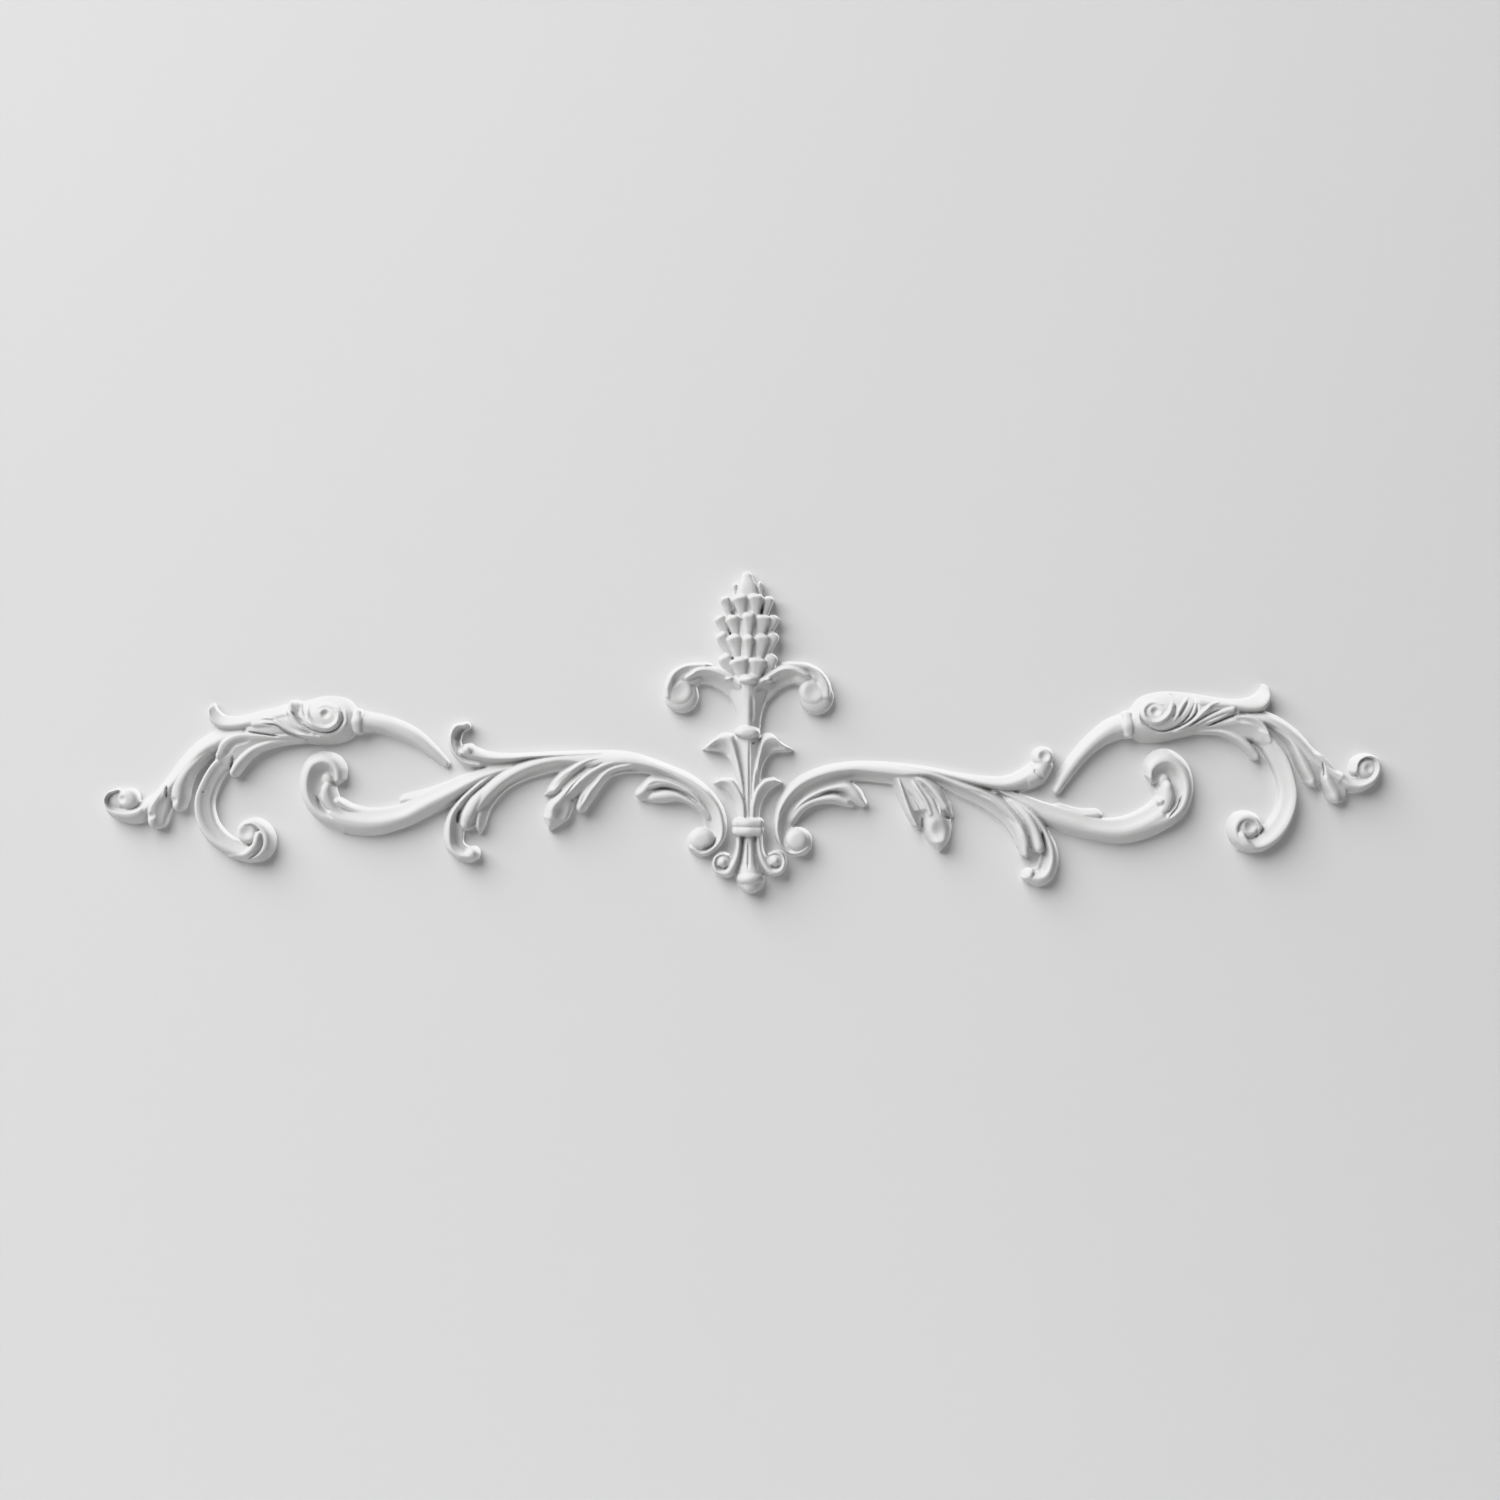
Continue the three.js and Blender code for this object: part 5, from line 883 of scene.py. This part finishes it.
def carve(obj, strokes):
    """Grooves and pits pressed into the front, or ridges drawn up where the depth is negative."""
    mesh = obj.data
    at = np.empty(len(mesh.vertices) * 3)
    mesh.vertices.foreach_get("co", at)
    at = at.reshape(-1, 3)
    sheet = np.c_[TIE_ON_SHEET[0] + at[:, 0] / SQUARE, TIE_ON_SHEET[1] - at[:, 2] / SQUARE]
    height = -at[:, 1]
    for width, depth, points in strokes:
        curve, along = stroke_points(points)
        low, high = curve.min(axis=0) - width, curve.max(axis=0) + width
        near = np.flatnonzero((sheet > low).all(axis=1) & (sheet < high).all(axis=1) & (height > CARVE_FLOOR))
        if not len(near):
            continue
        gap = np.linalg.norm(sheet[near, None] - curve[None], axis=2)
        closest = gap.argmin(axis=1)
        fade = np.minimum(1, FADE * np.minimum(along, 1 - along) + FADE_START)[closest]
        reach = width * (STROKE_END + (1 - STROKE_END) * fade)
        press = np.clip(1 - (gap.min(axis=1) / reach) ** 2, 0, 1) ** 2
        lowered = height[near] - press * fade * depth * BAND_RELIEF
        height[near] = np.maximum(lowered, CARVE_FLOOR)
    at[:, 1] = -height
    mesh.vertices.foreach_set("co", at.ravel())
    mesh.update()


def cut_on_wall(obj):
    """Everything behind the wall face is cut away and the cut is closed flat."""
    work = bmesh.new()
    work.from_mesh(obj.data)
    every = work.verts[:] + work.edges[:] + work.faces[:]
    cut = bmesh.ops.bisect_plane(work, geom=every, plane_co=(0, 0, 0), plane_no=(0, 1, 0), clear_outer=True)
    rim = [g for g in cut["geom_cut"] if isinstance(g, bmesh.types.BMEdge)]
    bmesh.ops.triangle_fill(work, edges=rim, use_beauty=True, normal=(0, 1, 0))
    bmesh.ops.recalc_face_normals(work, faces=work.faces)
    work.to_mesh(obj.data)
    work.free()


def shade(obj):
    """Smooth in front, with a crisp edge round the flat back."""
    obj.data.shade_smooth()
    work = bmesh.new()
    work.from_mesh(obj.data)
    back = {f for f in work.faces if f.normal.y > BACK_NORMAL and f.calc_center_median().y > -BACK_DEPTH}
    for edge in work.edges:
        on_back = [face in back for face in edge.link_faces]
        edge.smooth = all(on_back) or not any(on_back)
    work.to_mesh(obj.data)
    work.free()


def casting(node, forms, strokes):
    """One casting, remade as a single skin from its forms, with its joins softened."""
    obj = bpy.data.objects.new(node + "_plaster", mesh_of(node, forms))
    bpy.context.collection.objects.link(obj)
    with_modifiers(
        obj,
        ("REMESH", {"mode": "VOXEL", "voxel_size": GRAIN, "adaptivity": 0}),
        ("SMOOTH", {"factor": SOFTENING, "iterations": SOFTENING_PASSES}),
    )
    carve(obj, strokes)
    cut_on_wall(obj)
    with_modifiers(obj, ("DECIMATE", {"ratio": FACES_KEPT}))
    shade(obj)
    obj.data.materials.append(plaster)
    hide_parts(node)
    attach(obj, "root")
    print(node, len(obj.data.vertices), "points", len(obj.data.polygons), "faces")


class Value:
    """A shader socket that adds its Math nodes when it is used in an expression."""

    def __init__(self, tree, socket):
        self.tree = tree
        self.socket = socket

    def math(self, operation, first, second):
        node = self.tree.nodes.new("ShaderNodeMath")
        node.operation = operation
        for slot, item in zip(node.inputs, (first, second)):
            if isinstance(item, Value):
                self.tree.links.new(item.socket, slot)
            else:
                slot.default_value = item
        return Value(self.tree, node.outputs[0])

    def __add__(self, other):
        return self.math("ADD", self, other)

    def __radd__(self, other):
        return self.math("ADD", other, self)

    def __sub__(self, other):
        return self.math("SUBTRACT", self, other)

    def __rsub__(self, other):
        return self.math("SUBTRACT", other, self)

    def __mul__(self, other):
        return self.math("MULTIPLY", self, other)

    def __rmul__(self, other):
        return self.math("MULTIPLY", other, self)

    def __lt__(self, other):
        return self.math("LESS_THAN", self, other)


class Finish:
    """A material being built, with one method for any node."""

    def __init__(self, name):
        self.material = bpy.data.materials.new(name)
        self.material.use_nodes = True
        self.tree = self.material.node_tree
        self.tree.nodes.clear()

    def node(self, kind, settings, values, output=0):
        """Adds a node: its settings, then the values or links of its sockets, by name or number."""
        made = self.tree.nodes.new(kind)
        for key, value in settings.items():
            setattr(made, key, value)
        for key, value in values.items():
            if isinstance(value, Value):
                self.tree.links.new(value.socket, made.inputs[key])
            else:
                made.inputs[key].default_value = value
        return Value(self.tree, made.outputs[output])

    def blend(self, share, first, second):
        """A colour that goes from the first to the second as share goes from 0 to 1."""
        settings = {"data_type": "RGBA", "clamp_factor": True}
        return self.node("ShaderNodeMix", settings, {0: share, 6: first, 7: second}, output=2)

    def done(self, shader):
        out = self.tree.nodes.new("ShaderNodeOutputMaterial")
        self.tree.links.new(shader.socket, out.inputs["Surface"])
        return self.material


PLASTER_WHITE = (0.545, 0.545, 0.542, 1)
PLASTER_GREY = (0.51, 0.51, 0.507, 1)
PLASTER_ROUGHNESS = 0.43  # where the mottle is nothing
WALL_PAINT = (0.61, 0.61, 0.61, 1)
FLOOR_PAINT = (0.6, 0.6, 0.6, 1)
PLASTER_BUMP = {"Strength": 0.35, "Distance": 0.0006}
PAINT_BUMP = {"Strength": 0.1, "Distance": 0.0005}

# How fine each pattern is: its noise or cells to a metre
MOTTLE = 55
TOOTH = 700
WAVES = 110
BUBBLES = 75
BUBBLE_SIZE = 0.035  # as a share of a cell
ORANGE_PEEL = 160


def plaster_finish():
    """Matt white casting plaster: faintly mottled, with a fine tooth and a few casting bubbles."""
    finish = Finish("casting_plaster")
    where = finish.node("ShaderNodeTexCoord", {}, {}, "Object")
    mottle = finish.node("ShaderNodeTexNoise", {}, {"Vector": where, "Scale": MOTTLE, "Detail": 4})
    tooth = finish.node("ShaderNodeTexNoise", {}, {"Vector": where, "Scale": TOOTH, "Detail": 3})
    waves = finish.node("ShaderNodeTexNoise", {}, {"Vector": where, "Scale": WAVES, "Detail": 2})
    cells = {"Vector": where, "Scale": BUBBLES, "Randomness": 1}
    to_bubble = finish.node("ShaderNodeTexVoronoi", {}, cells, "Distance")
    bubble = to_bubble < BUBBLE_SIZE
    height = waves * 1.2 + tooth * 0.12 - bubble * 0.5
    bump = finish.node("ShaderNodeBump", {}, {**PLASTER_BUMP, "Height": height})
    colour = finish.blend(mottle * 0.8 - 0.1, PLASTER_WHITE, PLASTER_GREY)
    roughness = mottle * 0.15 + PLASTER_ROUGHNESS
    values = {"Base Color": colour, "Roughness": roughness, "Normal": bump, "Specular IOR Level": 0.35}
    return finish.done(finish.node("ShaderNodeBsdfPrincipled", {}, values))


def paint_finish(name, colour, see_through_back):
    """Flat paint on the stage; the wall's can be seen through from behind."""
    finish = Finish(name)
    where = finish.node("ShaderNodeTexCoord", {}, {}, "Object")
    orange_peel = finish.node("ShaderNodeTexNoise", {}, {"Vector": where, "Scale": ORANGE_PEEL, "Detail": 2})
    bump = finish.node("ShaderNodeBump", {}, {**PAINT_BUMP, "Height": orange_peel})
    values = {"Base Color": colour, "Roughness": 0.6, "Normal": bump, "Specular IOR Level": 0.25}
    paint = finish.node("ShaderNodeBsdfPrincipled", {}, values)
    if not see_through_back:
        return finish.done(paint)
    clear = finish.node("ShaderNodeBsdfTransparent", {}, {})
    backfacing = finish.node("ShaderNodeNewGeometry", {}, {}, "Backfacing")
    return finish.done(finish.node("ShaderNodeMixShader", {}, {0: backfacing, 1: paint, 2: clear}))


plaster = plaster_finish()

CASTINGS = {
    "centre_finial": list(CENTRE.values()) + tie_bands(),
    "left_inner_scroll": LEFT_INNER.values(),
    "right_inner_scroll": RIGHT_INNER.values(),
    "left_outer_scroll": LEFT_OUTER.values(),
    "right_outer_scroll": RIGHT_OUTER.values(),
}
for node, bands in CASTINGS.items():
    forms = [band(form) for form in bands] + [knob(form) for form in KNOBS[node]]
    if node == "centre_finial":
        forms.append(cone_scales())
    casting(node, forms, STROKES[node])


# The stage: a pale wall behind the castings, a floor far below, and soft light from the upper left.
# A second light, like the first, stands behind the wall and shows the castings' backs. Sizes in metres.
WALL_WIDTH = 3.6
WALL_HEIGHT = 3.4
WALL_GAP = 0.0003
FLOOR_DROP = 1.6
FLOOR_REACH = 2.2
FLOOR_BEHIND = 1
LIGHT_DISTANCE = 8
LIGHT_SIZE = 8.6
LIGHT_POWER = 1450  # watts
LIGHT_AIM = (0, 0, 0.05)
KEY_DIRECTION = (60, 130)  # degrees off the wall's normal, then round it from the right
BACK_DIRECTION = (140, 50)
ROOM_LIGHT = 0.06


def plane(name, corners, finish):
    """A four-cornered sheet of the stage."""
    mesh = bpy.data.meshes.new(name)
    mesh.from_pydata(corners, [], [(0, 1, 2, 3)])
    mesh.materials.append(finish)
    obj = bpy.data.objects.new(name, mesh)
    bpy.context.collection.objects.link(obj)
    return obj


middle = Vector(place(*SHEET_MIDDLE, 0))
left, right = middle.x - WALL_WIDTH / 2, middle.x + WALL_WIDTH / 2
bottom, top = -FLOOR_DROP, WALL_HEIGHT - FLOOR_DROP
wall_paint = paint_finish("wall_paint", WALL_PAINT, True)
wall_corners = [(x, WALL_GAP, z) for x, z in ((left, bottom), (right, bottom), (right, top), (left, top))]
wall = plane("wall", wall_corners, wall_paint)
wall.visible_shadow = False  # so that the second light reaches the backs
front, back = -FLOOR_REACH, FLOOR_BEHIND
floor_corners = [(left, front, bottom), (right, front, bottom), (right, back, bottom), (left, back, bottom)]
plane("floor", floor_corners, paint_finish("floor_paint", FLOOR_PAINT, False))


def soft_light(name, off_wall, round_wall):
    """A large round light that looks at the ornament from a direction in degrees."""
    tilt, turn = math.radians(off_wall), math.radians(round_wall)
    at = (
        LIGHT_DISTANCE * math.sin(tilt) * math.cos(turn),
        -LIGHT_DISTANCE * math.cos(tilt),
        LIGHT_DISTANCE * math.sin(tilt) * math.sin(turn),
    )
    lamp = bpy.data.lights.new(name, "AREA")
    lamp.shape = "DISK"
    lamp.size = LIGHT_SIZE
    lamp.energy = LIGHT_POWER
    obj = bpy.data.objects.new(name, lamp)
    obj.location = at
    obj.rotation_euler = (Vector(LIGHT_AIM) - Vector(at)).to_track_quat("-Z", "Y").to_euler()
    bpy.context.collection.objects.link(obj)


soft_light("key_light", *KEY_DIRECTION)
soft_light("back_light", *BACK_DIRECTION)

world = bpy.data.worlds.new("room")
world.use_nodes = True
world.node_tree.nodes["Background"].inputs["Color"].default_value = (1, 1, 1, 1)
world.node_tree.nodes["Background"].inputs["Strength"].default_value = ROOM_LIGHT
bpy.context.scene.world = world

# The bright end of the picture rolls off softly, as it does in the photo. The values are linear light:
# (light that falls on the picture, light that is shown), up to LIGHT_MOST, which is shown as LIGHT_END.
LIGHT_MOST = 1.4
LIGHT_END = 0.96
SHOULDER = [(0.5, 0.5), (0.8, 0.765), (1.1, 0.905)]
tone = bpy.context.scene.view_settings
tone.view_transform = "Standard"
tone.use_curve_mapping = True
tone.curve_mapping.white_level = (LIGHT_MOST, LIGHT_MOST, LIGHT_MOST)
shoulder = tone.curve_mapping.curves[3].points
shoulder[-1].location = (1, LIGHT_END)
for light, shown in SHOULDER:
    shoulder.new(light / LIGHT_MOST, shown)
tone.curve_mapping.update()

# The camera looks straight at the wall and takes in the whole sheet
LENS_MM = 50
SENSOR_MM = 36
CLIP_START = 0.05
camera = bpy.data.cameras.new("camera")
camera.lens = LENS_MM
camera.sensor_width = SENSOR_MM
camera.clip_start = CLIP_START
distance = SHEET_SIDE * SQUARE * LENS_MM / SENSOR_MM
eye = bpy.data.objects.new("camera", camera)
eye.location = (middle.x, -distance - BAND_RELIEF / 2, middle.z)
eye.rotation_euler = (math.pi / 2, 0, 0)
bpy.context.collection.objects.link(eye)
bpy.context.scene.camera = eye
